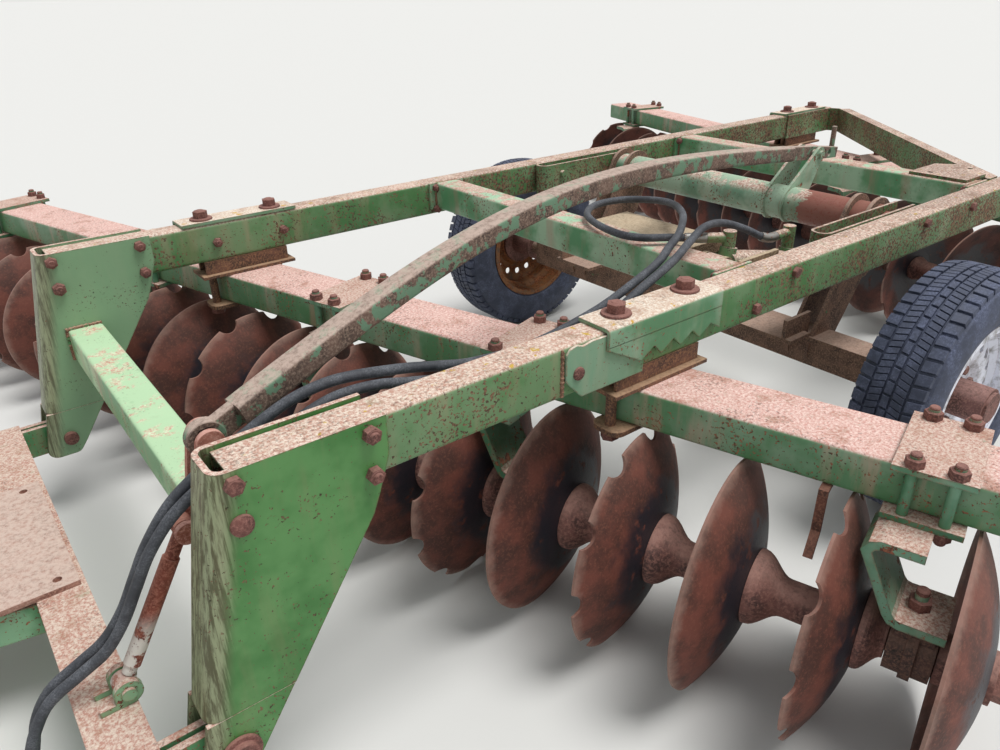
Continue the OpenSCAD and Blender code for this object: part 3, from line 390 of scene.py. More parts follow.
class Canvas:
    """A material in the making: its tree, and the places and masks that its layers share."""

    def __init__(self, name: str) -> None:
        """Starts an empty material with the shape's own coordinates, in metres."""
        self.material = bpy.data.materials.new(name)
        self.material.use_nodes = True
        self.tree = self.material.node_tree
        self.tree.nodes.clear()
        where = add(self.tree, "ShaderNodeTexCoord")
        self.here, self.normal = where.outputs["Object"], where.outputs["Normal"]

    def noise(self, size: float, detail: float = 3.0, rough: float = 0.6, seed: float = 0.0,
              stretch: Sequence[float] = (1, 1, 1)) -> bpy.types.NodeSocket:
        """A noise whose lumps are about size millimetres wide; the seed moves it aside."""
        at = add(self.tree, "ShaderNodeMapping", {"Vector": self.here, "Location": (seed, 1.7 * seed, -seed),
                                                  "Scale": tuple(stretch)})
        return add(self.tree, "ShaderNodeTexNoise", {"Vector": at.outputs[0], "Scale": 1 / (size * MM),
                                                     "Detail": detail, "Roughness": rough}).outputs["Fac"]

    def ramp(self, value: Any, low: float, high: float,
             to: tuple[float, float] = (0.0, 1.0)) -> bpy.types.NodeSocket:
        """A smooth step of a value between two limits."""
        return add(self.tree, "ShaderNodeMapRange", {"Value": value, "From Min": low, "From Max": high,
                                                     "To Min": to[0], "To Max": to[1]},
                   interpolation_type="SMOOTHSTEP").outputs[0]

    def math(self, operation: str, a: Any, b: Any = 0.0, clamp: bool = False) -> bpy.types.NodeSocket:
        """One arithmetic step."""
        return add(self.tree, "ShaderNodeMath", {0: a, 1: b}, operation=operation, use_clamp=clamp).outputs[0]

    def times(self, a: Any, b: Any) -> bpy.types.NodeSocket:
        """The product of two values, such as a mask and its strength."""
        return self.math("MULTIPLY", a, b)

    def vector(self, operation: str, inputs: dict[str | int, Any],
               out: str | int = 0) -> bpy.types.NodeSocket:
        """One step of vector arithmetic."""
        return add(self.tree, "ShaderNodeVectorMath", inputs, operation=operation).outputs[out]

    def mix(self, share: Any, a: Any, b: Any) -> bpy.types.NodeSocket:
        """Two colours mixed; a hex value or a socket each."""
        a, b = (linear(c) if isinstance(c, str) else c for c in (a, b))
        return add(self.tree, "ShaderNodeMix", {0: share, 6: a, 7: b}, data_type="RGBA").outputs[2]

    def patches(self, size: float, threshold: float, soft: float = 0.03,
                **noise: Any) -> bpy.types.NodeSocket:
        """Islands of a noise above a threshold, where 0.5 covers half of the surface."""
        return self.ramp(self.noise(size, **noise), threshold, threshold + soft)

    def along(self, axis: int) -> bpy.types.NodeSocket:
        """The place along one axis of the machine, in metres: 0 is forward, 1 is left, 2 is up."""
        return add(self.tree, "ShaderNodeSeparateXYZ", {0: self.here}).outputs[axis]

    def facing_up(self, low: float = 0.35, high: float = 0.8) -> bpy.types.NodeSocket:
        """1 on faces that look up."""
        z = add(self.tree, "ShaderNodeSeparateXYZ", {0: self.normal}).outputs[2]
        return self.ramp(z, low, high)

    def edges(self, radius: float = 5.0, low: float = 0.02, high: float = 0.2) -> bpy.types.NodeSocket:
        """1 along edges, from how far a rounded normal leans from the real one."""
        real = add(self.tree, "ShaderNodeNewGeometry").outputs["Normal"]
        lean = self.vector("DOT_PRODUCT", {0: self.rounded(radius), 1: real}, "Value")
        return self.ramp(self.math("SUBTRACT", 1.0, lean), low, high)

    def bump(self, height: Any, distance: float, strength: float = 1.0,
             over: Any = None) -> bpy.types.NodeSocket:
        """A bump of a height, scaled in millimetres, over another normal if one is given."""
        inputs = {"Height": height, "Distance": distance * MM, "Strength": strength}
        if over is not None:
            inputs["Normal"] = over
        return add(self.tree, "ShaderNodeBump", inputs).outputs[0]

    def rounded(self, radius: float) -> bpy.types.NodeSocket:
        """A normal that rounds sharp edges to a radius in millimetres."""
        return add(self.tree, "ShaderNodeBevel", {"Radius": radius * MM}, samples=BEVEL_RAYS).outputs[0]

    def finish(self, colour: Any, rough: Any, metallic: Any = 0.0, normal: Any = None,
               **shader: Any) -> bpy.types.Material:
        """Closes the material with its surface shader."""
        if isinstance(colour, str):
            colour = linear(colour)
        inputs = {"Base Color": colour, "Roughness": rough, "Metallic": metallic}
        inputs.update({k.replace("_", " "): v for k, v in shader.items()})
        if normal is not None:
            inputs["Normal"] = normal
        surface = add(self.tree, "ShaderNodeBsdfPrincipled", inputs)
        add(self.tree, "ShaderNodeOutputMaterial", {"Surface": surface.outputs[0]})
        return self.material


class Finish:
    """A surface finish that is made once and shared by its pieces."""

    name: str

    def material(self) -> bpy.types.Material:
        """The finish's material, made at its first use."""
        return bpy.data.materials.get(self.name) or self.make(Canvas(self.name))

    def make(self, c: Canvas) -> bpy.types.Material:
        """Builds the material on an empty canvas."""
        raise NotImplementedError


@dataclass(frozen=True)
class WornPaint(Finish):
    """Air-dried enamel on mill-scale steel: chalked, pitted by rust specks and flaked at edges.

    To the eye it is a broken green, paler where it is chalked and warm brown where it is gone.

    Attributes:
        coat, chalk: The paint's own colour and its bleached one.
        rust, rust_light: The colours of specks and flakes.
        top_dark, top_light: The colours of the dusty rust on what looks up.
        lichen: The colour of lichen on the top side.
        speck, flake: Thresholds of small and large rust spots; higher means fewer.
        streaks: Strength of the rust washed down the sides.
        top_cover: How much of the top side is rusty.
        top_paint, lichen_cover: Thresholds of the paint and the lichen on the top side.
        edge_wear: Strength of the wear along edges.
        bare, bare_from, bare_to: Extra rust towards the rear, and where along x it starts and is full.
        end_rust, end_cover: The colour and strength of the rust towards one end.
        end_from, end_to: Where along y, in metres, that rust starts and is full.
        corner: Where a plate's weathered front edge would meet the ground along x, in metres; 0 for none.
        corner_dark, corner_light: The colours of the streaks along that edge.
        far_fade, faded: Strength and colour of the bleaching on the far side.
    """

    name: str
    coat: str = "#4f8a57"
    chalk: str = "#7fa98a"
    rust: str = "#5b3b2f"
    rust_light: str = "#9c6247"
    top_dark: str = "#b98375"
    top_light: str = "#e0cdbd"
    lichen: str = "#c9a44a"
    speck: float = 0.60
    flake: float = 0.69
    streaks: float = 0.5
    top_cover: float = 0.95
    top_paint: float = 0.64
    lichen_cover: float = 0.70
    edge_wear: float = 0.8
    bare: float = 0.0
    bare_from: float = 0.35
    bare_to: float = -0.75
    end_rust: str = "#b0604e"
    end_cover: float = 0.0
    end_from: float = 0.0
    end_to: float = 1.0
    corner: float = 0.0
    corner_dark: str = "#54422f"
    corner_light: str = "#9a9c7c"
    far_fade: float = 0.0
    faded: str = "#8fae8c"

    def make(self, c: Canvas) -> bpy.types.Material:
        """Paint with specks of 4 to 9 mm, flakes of 40 mm and a rusty, dusty top side."""
        broad = c.noise(170, 4, seed=1.3)
        coat = c.mix(c.ramp(broad, 0.4, 0.62), self.coat, self.chalk)
        wash = c.noise(55, 4, 0.62, 2.1, stretch=(1, 1, 0.16))
        coat = c.mix(c.times(c.ramp(wash, 0.48, 0.68), 0.45 * self.streaks), coat, self.top_dark)
        if self.far_fade:
            coat = c.mix(c.ramp(c.along(1), 0.6, 0.2, (0.0, self.far_fade)), coat, self.faded)
        if self.corner:
            slope = c.math("ADD", c.along(0), c.times(c.along(2), PLATE_LEAN))
            band = c.ramp(slope, self.corner - 0.05, self.corner - 0.018)
            streak = c.ramp(c.noise(9, 4, 0.7, 6.3, stretch=(1, 1, 0.07)), 0.4, 0.6)
            coat = c.mix(c.times(band, 0.8), coat, c.mix(streak, self.corner_dark, self.corner_light))
        patchy = c.ramp(c.noise(120, 3, 0.55, 4.4), 0.36, 0.66, (0.06, -0.05))
        fine = c.math("ADD", c.noise(7, 3, 0.65, 7.7), c.times(patchy, -1.0))
        fine = c.math("ADD", fine, c.ramp(c.along(0), self.bare_to, self.bare_from, (self.bare, 0.0)))
        specks = c.ramp(fine, self.speck, self.speck + 0.035)
        flakes = c.patches(42, self.flake, 0.012, detail=6, rough=0.62, seed=9.1)
        edge = c.times(c.edges(7), c.ramp(c.noise(16, 4, 0.7, 3.2), 0.36, 0.56))
        worn = c.math("MAXIMUM", c.math("MAXIMUM", specks, flakes), c.times(edge, self.edge_wear))
        rust = c.mix(c.ramp(c.noise(11, 4, seed=5.5), 0.38, 0.62), self.rust, self.rust_light)
        side = c.mix(worn, coat, rust)
        grain = c.ramp(c.noise(6, 4, 0.75, 6.1), 0.36, 0.64)
        top = c.mix(grain, self.top_dark, self.top_light)
        top = c.mix(c.times(c.ramp(c.noise(60, 5, 0.7, 8.0), 0.5, 0.68), 0.5), top, self.rust_light)
        top = c.mix(c.patches(90, self.top_paint, 0.08, detail=6, rough=0.75, seed=2.7), top, self.chalk)
        top = c.mix(c.patches(34, self.lichen_cover, 0.03, detail=5, rough=0.7, seed=3.9), top, self.lichen)
        top = c.mix(c.times(specks, 0.45), top, self.rust)
        if self.end_cover:
            place = c.ramp(c.along(1), self.end_from, self.end_to, (-0.16, 0.3))
            streaks = c.noise(34, 5, 0.7, 1.9, stretch=(1, 0.25, 1))
            bare = c.times(c.ramp(c.math("ADD", streaks, place), 0.5, 0.58), self.end_cover)
            top, side = c.mix(bare, top, self.end_rust), c.mix(bare, side, self.end_rust)
        cover = c.ramp(c.noise(40, 5, 0.7, 1.1), 0.3, 0.42, (self.top_cover * 0.75, self.top_cover))
        up = c.times(c.facing_up(), cover)
        colour = c.mix(up, side, top)
        height = c.math("SUBTRACT", c.times(c.noise(5, 3, 0.7, 0.4), 0.4), c.times(worn, 0.6))
        rough = c.ramp(c.math("MAXIMUM", worn, up), 0.0, 1.0, (0.46, 0.86))
        return c.finish(colour, rough, normal=c.bump(height, 0.8, 0.8, c.rounded(2.5)))


@dataclass(frozen=True)
class RustedSteel(Finish):
    """Bare rolled or cast steel rusted in the open: layered oxide with dust on what looks up.

    To the eye it is matt and grainy, darker in its hollows and pinkish grey under dust.

    Attributes:
        dark, mid, light: The rust's colours, from the deepest to the freshest.
        dust, dust_cover: The colour and strength of the dust on what looks up.
        paint, paint_cover: The colour of what paint is left, and its threshold; 1 for none.
        grain: Width of the rust's grains in millimetres.
        stain, stain_top: A pale stain's colour and the height that it reaches, in metres.
    """

    name: str
    dark: str = "#4a3029"
    mid: str = "#7a4a3a"
    light: str = "#a8705a"
    dust: str = "#cfa596"
    paint: str = "#4f8a57"
    paint_cover: float = 1.0
    dust_cover: float = 0.7
    grain: float = 5.0
    stain: str = ""
    stain_top: float = 0.42

    def make(self, c: Canvas) -> bpy.types.Material:
        """Rust in lumps of 40 mm and grains of a few millimetres."""
        colour = c.mix(c.ramp(c.noise(45, 5, 0.65, 1.9), 0.38, 0.62), self.dark, self.mid)
        colour = c.mix(c.ramp(c.noise(self.grain, 4, 0.7, 5.3), 0.42, 0.68), colour, self.light)
        if self.paint_cover < 1:
            left = c.patches(48, self.paint_cover, 0.02, detail=6, rough=0.68, seed=6.6)
            colour = c.mix(left, colour, self.paint)
        if self.stain:
            low = c.ramp(c.along(2), self.stain_top + 0.03, self.stain_top - 0.03)
            left = c.times(low, c.patches(30, 0.42, 0.06, detail=6, rough=0.7, seed=4.8))
            colour = c.mix(left, colour, self.stain)
        dust = c.times(c.facing_up(), c.ramp(c.noise(12, 5, 0.75, 8.8), 0.3, 0.6, (0.25, self.dust_cover)))
        colour = c.mix(dust, colour, self.dust)
        edge = c.times(c.edges(4), 0.45)
        colour = c.mix(edge, colour, self.light)
        lumps = c.times(c.noise(18, 3, 0.6, 2.2), 0.8)
        height = c.math("ADD", c.noise(self.grain * 0.8, 4, 0.75, 0.9), lumps)
        return c.finish(colour, c.ramp(dust, 0, 1, (0.78, 0.92)),
                        normal=c.bump(height, 0.9, 0.9, c.rounded(2.0)))


@dataclass(frozen=True)
class DiscSteel(Finish):
    """Pressed boron steel discs: thin even rust, a dark middle band of painted shade for the shaded dish, and
    a rim worn pale by the soil.

    Attributes:
        axle, along: A point on the gang's axle in metres, and its direction.
        dark, mid, fresh: The rust's colours in broad patches and in its grain.
        painted_shade, painted_shade_out, painted_shade_in: The colour of the dark middle band, which is
        painted shade, and the radii where it starts and is full.
        pale, pale_in, pale_out: The colour of the worn rim, and the radii where it starts and is full.
        dust: The colour of the dust on what looks up.
    """

    name: str
    axle: tuple[float, float, float]
    along: tuple[float, float, float]
    dark: str = "#45271f"
    mid: str = "#6c3a2e"
    fresh: str = "#875240"
    # The dark middle band's colour is painted shade.
    painted_shade: str = "#20232b"
    painted_shade_out: float = 0.245
    painted_shade_in: float = 0.185
    pale: str = "#a98a7c"
    pale_in: float = 0.252
    pale_out: float = 0.28
    dust: str = "#9c7466"

    def make(self, c: Canvas) -> bpy.types.Material:
        """Rust whose marks follow the disc's radius, worked out from the gang's axle."""
        arm = c.vector("SUBTRACT", {0: c.here, 1: self.axle})
        reach = c.vector("DOT_PRODUCT", {0: arm, 1: self.along}, "Value")
        shift = c.vector("SCALE", {0: self.along, "Scale": reach})
        flat = c.vector("SUBTRACT", {0: arm, 1: shift})
        radius = c.vector("LENGTH", {0: flat}, "Value")
        colour = c.mix(c.ramp(c.noise(90, 5, 0.6, 1.2), 0.38, 0.62), self.dark, self.mid)
        colour = c.mix(c.times(c.ramp(c.noise(7, 4, 0.75, 4.2), 0.48, 0.7), 0.5), colour, self.fresh)
        ripple = c.math("ADD", radius, c.times(c.noise(60, 4, 0.6, 3.1), 0.12))
        broken = c.ramp(c.noise(34, 4, 0.6, 7.3), 0.3, 0.44)
        middle = c.times(c.ramp(ripple, self.painted_shade_out, self.painted_shade_in), broken)
        # Painted shade: the dark band across the disc's middle stands in for the shade in its dish.
        colour = c.mix(c.times(middle, 0.92), colour, self.painted_shade)
        wavy = c.math("ADD", radius, c.times(c.noise(30, 3, 0.6, 2.3), 0.03))
        rim = c.ramp(wavy, self.pale_in, self.pale_out)
        colour = c.mix(c.times(rim, 0.55), colour, self.pale)
        colour = c.mix(c.times(c.facing_up(0.2, 0.9), 0.3), colour, self.dust)
        height = c.math("ADD", c.noise(5, 4, 0.75, 0.9), c.noise(26, 3, 0.6, 2.2))
        return c.finish(colour, c.ramp(middle, 0, 1, (0.72, 0.5)), normal=c.bump(height, 0.6, 0.7))


@dataclass(frozen=True)
class MouldedRubber(Finish):
    """Vulcanised rubber: dark, matt and greyed by dust and sun."""

    name: str
    body: str = "#2c2e37"
    dust: str = "#6d6f76"
    grain: float = 2.0
    dusty: float = 0.55

    def make(self, c: Canvas) -> bpy.types.Material:
        """Dark rubber with dust in soft patches and on what looks up."""
        wear = c.ramp(c.noise(60, 5, 0.7, 1.4), 0.36, 0.7, (0.0, self.dusty))
        wear = c.math("ADD", wear, c.times(c.facing_up(0.3, 1.0), 0.18), clamp=True)
        fine = c.ramp(c.noise(self.grain * 2, 4, 0.7, 3.3), 0.35, 0.75, (0.2, 1.0))
        colour = c.mix(c.times(wear, fine), self.body, self.dust)
        skin = c.bump(c.noise(self.grain, 3, 0.6, 0.7), 0.3, 0.6)
        return c.finish(colour, c.ramp(wear, 0, 1, (0.62, 0.88)), normal=skin, IOR=1.52)


@dataclass(frozen=True)
class ChalkyEnamel(Finish):
    """Stoved enamel on a pressed wheel: chalked, dirty in its corners and rusted through in places."""

    name: str
    coat: str = "#eef0fa"
    dirt: str = "#8b8886"
    rust: str = "#7c4a33"
    worn: float = 0.66
    fresh: str = "#a5673f"

    def make(self, c: Canvas) -> bpy.types.Material:
        """Chalk, dirt and rust in patches of 20 to 60 mm."""
        colour = c.mix(c.ramp(c.noise(38, 5, 0.7, 1.1), 0.42, 0.72), self.coat, self.dirt)
        patches = c.patches(30, self.worn, 0.03, detail=6, rough=0.7, seed=5.1)
        bare = c.math("MAXIMUM", patches, c.times(c.edges(4), 0.5))
        rust = c.mix(c.ramp(c.noise(9, 4, 0.7, 8.1), 0.4, 0.65), self.rust, self.fresh)
        colour = c.mix(bare, colour, rust)
        height = c.math("SUBTRACT", c.times(c.noise(6, 3, 0.7, 0.4), 0.4), bare)
        return c.finish(colour, c.ramp(bare, 0, 1, (0.5, 0.85)),
                        normal=c.bump(height, 0.4, 0.6, c.rounded(2.0)))


@dataclass(frozen=True)
class PlatedSteel(Finish):
    """Turned and plated steel: hard chrome on the rod, dull zinc on the couplers."""

    name: str
    colour: str = "#b9bbc0"
    rough: float = 0.22
    spots: float = 0.68
    rust: str = "#7a4f3a"

    def make(self, c: Canvas) -> bpy.types.Material:
        """Plating with a few rust spots where it is pitted."""
        pits = c.patches(9, self.spots, 0.03, detail=4, seed=2.5)
        colour = c.mix(pits, self.colour, self.rust)
        rough = c.ramp(pits, 0, 1, (self.rough, 0.8))
        return c.finish(colour, rough, metallic=c.ramp(pits, 0, 1, (1.0, 0.1)),
                        normal=c.bump(c.noise(3, 3, 0.6, 0.4), 0.1, 0.4))


@dataclass(frozen=True)
class FloorCoat(Finish):
    """Pale matt studio floor."""

    name: str = "pale_floor_coat"

    def make(self, c: Canvas) -> bpy.types.Material:
        """A plain diffuse pale grey."""
        return c.finish("#d9d8d4", 0.9)


FRAME_PAINT = WornPaint("worn_green_enamel_frame", coat="#4a7a46", chalk="#6d8c63", rust="#4a382b",
                        rust_light="#8a644c", speck=0.572, top_dark="#c08f7e", top_light="#ecdccb",
                        lichen_cover=0.62, bare=0.105)
SADDLE_PAINT = WornPaint("worn_green_enamel_saddles", coat="#4f8058", chalk="#7da083", top_dark="#cfae98",
                         top_light="#f1e6d6", speck=0.63, flake=0.68, streaks=0.3, lichen_cover=0.62,
                         lichen="#d0a13c")
PLATE_PAINT = WornPaint("worn_green_enamel_hitch_plates", coat="#3a7434", chalk="#568a4c", rust="#3a3a26",
                        rust_light="#7c5c46", top_light="#efdccb", speck=0.64, flake=0.725, streaks=0.2,
                        edge_wear=0.9, corner=1.444, far_fade=0.7)
TUBE_PAINT = WornPaint("worn_green_enamel_cross_tubes", coat="#5f9a6c", chalk="#a9c9a8", speck=0.62,
                       flake=0.70, streaks=0.9, top_paint=0.5)
FRONT_PAINT = WornPaint("worn_green_enamel_front_tube", coat="#6fa274", chalk="#b9d8ae", speck=0.64,
                        flake=0.66, streaks=0.9, top_dark="#cf8f80", top_light="#d9ecc8", top_paint=0.40,
                        end_rust="#b4604c", end_cover=0.9, end_from=0.72, end_to=1.0)
GANG_PAINT = WornPaint("worn_green_enamel_gang_beams", coat="#4b7b51", chalk="#739274", rust="#4a3c30",
                       speck=0.6, streaks=0.75, flake=0.70, top_dark="#cf958a", top_light="#f2d6cb",
                       top_paint=0.70, lichen_cover=0.78)
STANDARD_PAINT = WornPaint("worn_green_enamel_standards", coat="#3f7350", chalk="#6b967a", speck=0.6,
                           flake=0.6)
SHAFT_PAINT = WornPaint("worn_green_enamel_rockshaft", coat="#688f72", chalk="#a3bba1", top_light="#eee4d2",
                        speck=0.6, flake=0.66, top_paint=0.45, end_rust="#8f5246", end_cover=0.92,
                        end_from=0.66, end_to=0.76)
HITCH_PAINT = WornPaint("worn_green_enamel_hitch", coat="#4d8757", chalk="#86b18a", speck=0.6, flake=0.62)
BEARING_IRON = RustedSteel("rusted_cast_iron_bearings", "#2f2826", "#5a4038", "#7d5a4b", "#9a7a6c")
STRAP_RUST = RustedSteel("rusted_strap_steel", "#3d2721", "#6b4032", "#90604c", "#a97a68")
SADDLE_RUST = RustedSteel("rusted_saddle_steel", "#46332b", "#6f4c3d", "#946c4e", "#bb9a7a", dust_cover=0.75)
SPOOL_IRON = RustedSteel("rusted_cast_iron_spools", "#4a3330", "#7a5048", "#94685c", "#b0877a", grain=7)
AXLE_RUST = RustedSteel("rusted_axle_steel", "#4a3a33", "#7a5d4e", "#a38068", "#bfa392", paint_cover=0.66)
BRACKET_RUST = RustedSteel("rusted_bracket_steel", "#5a4436", "#8c6f58", "#b39a7c", "#d2c0a2")
ROD_RUST = RustedSteel("rusted_levelling_rod_steel", "#4c3d36", "#6e564b", "#968070", "#c6b0a2",
                       paint="#6a8a70", paint_cover=0.53, dust_cover=0.85)
CRANK_RUST = RustedSteel("rusted_crank_steel", "#8a4c3c", "#b0705e", "#cc9484", "#dcb0a2")
LINK_RUST = RustedSteel("rusted_link_steel", "#6b3427", "#8f4b3a", "#b37460", "#c99684", stain="#dcd6cc")
PLATE_RUST = RustedSteel("rusted_plate_steel", "#7d5a4e", "#a37768", "#bb9282", "#d2bcae", dust_cover=0.9)
NUT_RUST = RustedSteel("rusted_fastener_steel", "#4c2f2a", "#70453d", "#8f6258", "#a97c70", grain=4,
                       dust_cover=0.55)
WELD_RUST = RustedSteel("rusted_weld_metal", "#503529", "#7c5643", "#a37d62", "#c7a58e", paint="#4f8a57",
                        paint_cover=0.55, grain=3)
HUB_RUST = RustedSteel("rusted_hub_iron", "#4c332d", "#75504a", "#946a5e", "#a9837a")
HUB_NUTS = RustedSteel("rusted_wheel_nut_steel", "#5c4038", "#8a6257", "#a98277", "#bd9a90", grain=4)
TYRE_RUBBER = MouldedRubber("weathered_tyre_rubber", "#343a4c", "#7c84a0", 2.5, 0.7)
HOSE_RUBBER = MouldedRubber("weathered_hose_rubber", "#2a2d34", "#83868c", 1.5, 0.8)
WHITE_RIM = ChalkyEnamel("chalky_white_rim_enamel")
ORANGE_RIM = ChalkyEnamel("rusted_orange_rim_enamel", "#8b5a2e", "#5d4636", "#6a3d22", 0.5)
ROD_CHROME = PlatedSteel("hard_chromed_rod_steel")
COUPLER_ZINC = PlatedSteel("zinc_plated_coupler_steel", "#8d8b87", 0.45, 0.58)


# Fasteners


class Head(Enum):
    """What shows of a fastener."""

    NUT = "nut on a stud"
    HEX = "hex bolt head"
    WASHER_NUT = "nut on a wide round washer"
    ROUND = "round bolt head"


def hex_block(across: float, height: float) -> Form:
    """A hexagon of a width across its flats."""
    return prism(ring(across / math.sqrt(3), 6), height, 0.6)


def fastener(head: Head, size: float, stud: float = 8.0) -> Form:
    """A fastener's visible end, seated at z = 0.

    Args:
        head: Which kind it is.
        size: The thread's diameter in millimetres.
        stud: How far the stud stands out of a nut.

    Returns:
        The fastener's shapes.
    """
    across = 1.5 * size
    forms = []
    base = 0.0
    if head is Head.WASHER_NUT:
        forms.append(lathe([(size * 0.5, 0), (size * 1.32, 0), (size * 1.36, 1.5), (size * 1.3, 5),
                            (size * 0.5, 5.5)], 32, True))
        base = 5.0
    if head is Head.ROUND:
        forms.append(lathe([(0, 0), (size * 0.95, 0), (size * 0.9, size * 0.25), (size * 0.55, size * 0.45),
                            (0, size * 0.5)], 24))
        return joined(forms)
    if head is Head.HEX:
        forms.append(hex_block(across, size * 0.65).moved(Matrix.Translation((0, 0, base))))
        forms.append(lathe([(0, size * 0.62), (across * 0.46, size * 0.62), (across * 0.43, size * 0.72),
                            (0, size * 0.73)], 24))
        return joined(forms)
    high = size * 0.82
    forms.append(hex_block(across, high).moved(Matrix.Translation((0, 0, base))))
    crown = base + high
    forms.append(lathe([(0, crown - 1), (across * 0.46, crown - 1), (across * 0.42, crown + 1),
                        (0, crown + 1)], 24))
    top = crown + stud
    forms.append(lathe([(0, base), (size * 0.5, base), (size * 0.5, top - 2), (size * 0.42, top),
                        (0, top)], 20))
    return joined(forms)


def weld(path: Sequence[Sequence[float]], size: float = 5.0, seed: int = 3) -> Form:
    """A hand-laid weld bead along a path, with a ripple every few millimetres."""
    first = np.array(path[0], float)
    way = np.array(path[-1], float) - first
    if len(path) > 2:
        line = smooth_path(path, RIPPLE)
    else:
        count = max(4, int(np.linalg.norm(way) / RIPPLE))
        line = np.array([first + way * t for t in np.linspace(0, 1, count)])
    rng = np.random.default_rng(seed)
    size_at = size * (1 + 0.16 * np.sin(np.arange(len(line)) * 1.9) + 0.1 * rng.standard_normal(len(line)))
    size_at[0] *= 0.5
    size_at[-1] *= 0.5
    up = (0, 0, 1) if abs(way[2]) < 0.8 * np.linalg.norm(way) else (1, 0, 0)
    return sweep(line, ring(1.0, 8), size_at, up)


# Placed shapes

Y_OUT = 688.0
Y_IN = 612.0
Y_MID = 650.0
BEAM_TOP = 770.0
BEAM_LOW = 660.0
GANG_TOP = 610.0
GANG_LOW = 520.0
FRONT_GANG_X = -757.0
REAR_GANG_X = -3310.0
FRONT_ANGLE = 17.3
REAR_ANGLE = 15.0
DISC_PITCH = 213.0
BOTH = (Matrix.Identity(4), Matrix.Scale(-1, 4, (0, 1, 0)))


def block(low: Sequence[float], high: Sequence[float], radius: float = 0.0, chamfer: float = 1.0) -> Form:
    """A box between two corners, its upright edges rounded."""
    w, h, t = (b - a for a, b in zip(low, high))
    outline = rectangle(w, h, radius) if radius else rectangle(w, h)
    middle = ((low[0] + high[0]) / 2, (low[1] + high[1]) / 2, low[2])
    return prism(outline, t, chamfer).moved(Matrix.Translation(middle))


def plate(outline: Loop, y: float, thick: float, chamfer: float = 1.0, holes: Sequence[Loop] = ()) -> Form:
    """An upright plate drawn in x and z, from y to y + thick."""
    turned = Matrix(((1, 0, 0, 0), (0, 0, -1, y + thick), (0, 1, 0, 0), (0, 0, 0, 1)))
    return prism(outline, thick, chamfer, holes).moved(turned)


def box_section(across: float, high: float, length: float, wall: float = 6.0, radius: float = 10.0) -> Form:
    """A hot-formed box section along z, open at both ends: x across, y high."""
    inner = rectangle(across - 2 * wall, high - 2 * wall, max(2.0, radius - wall))
    return prism(rectangle(across, high, radius), length, 0.8, [inner])


def along_x(x: float, y: float, z: float) -> Matrix:
    """A place where a shape's z runs along x, its x to the left and its y up."""
    return Matrix(((0, 0, 1, x), (1, 0, 0, y), (0, 1, 0, z), (0, 0, 0, 1)))


def along_y(x: float, y: float, z: float) -> Matrix:
    """A place where a shape's z runs along y to the left, its x backward and its y up."""
    return Matrix(((-1, 0, 0, x), (0, 0, 1, y), (0, 1, 0, z), (0, 0, 0, 1)))


def loft(rows: Sequence[Sequence[Sequence[float]]]) -> Form:
    """A closed shape through loops of equal count."""
    n = len(rows[0])
    faces = [(r * n + i, r * n + (i + 1) % n, (r + 1) * n + (i + 1) % n, (r + 1) * n + i)
             for r in range(len(rows) - 1) for i in range(n)]
    faces += [tuple(range(n))[::-1], tuple(range((len(rows) - 1) * n, len(rows) * n))]
    return Form(np.array(rows, float).reshape(-1, 3), faces)


def pin_y(x: float, z: float, radius: float, y: float, length: float) -> Form:
    """A round pin along y with broken edges."""
    edge = 1.5
    profile = [(0, 0), (radius - edge, 0), (radius, edge), (radius, length - edge),
               (radius - edge, length), (0, length)]
    return lathe(profile, 32).moved(spot(x, y, z, up=(0, 1, 0)))


# Hoses

ROUTE_A = (
    (540, 370, 13.5), (460, 384, 18), (395, 400, 55), (350, 412, 120), (325, 424, 195), (305, 434, 265),
    (270, 446, 325), (215, 460, 366), (172, 474, 400), (135, 490, 455), (105, 510, 525), (75, 526, 590),
    (30, 540, 655), (-30, 546, 700), (-90, 548, 730), (-153, 548, 758), (-206, 550, 776), (-279, 553, 783),
    (-395, 556, 766), (-481, 558, 746), (-560, 560, 730), (-700, 562, 724), (-883, 560, 750),
    (-1020, 552, 786), (-1107, 535, 805), (-1190, 495, 815), (-1273, 452, 820), (-1381, 373, 824),
    (-1450, 300, 822), (-1498, 225, 815), (-1509, 143, 806), (-1469, 65, 798), (-1385, 43, 793),
    (-1304, 91, 791), (-1255, 180, 790), (-1233, 290, 790), (-1255, 352, 790), (-1305, 392, 790),
    (-1347.5, 434.7, 790), (-1375.8, 457.8, 790),
)
ROUTE_B = (
    (600, 410, 13.5), (500, 418, 18), (425, 430, 55), (370, 442, 120), (338, 452, 195), (312, 462, 265),
    (276, 474, 325), (218, 488, 366), (175, 502, 400), (140, 518, 455), (110, 538, 525), (80, 554, 590),
    (34, 568, 652), (-30, 574, 694), (-110, 576, 724), (-189, 576, 748), (-256, 578, 766), (-331, 580, 764),
    (-408, 582, 746), (-500, 583, 728), (-700, 584, 710), (-883, 586, 736), (-1010, 582, 782),
    (-1100, 566, 802), (-1170, 540, 808), (-1234, 512, 814), (-1347, 470, 826), (-1440, 456, 816),
    (-1520, 468, 788), (-1570, 484, 762), (-1598, 494, 752.5), (-1627, 495, 752),
)


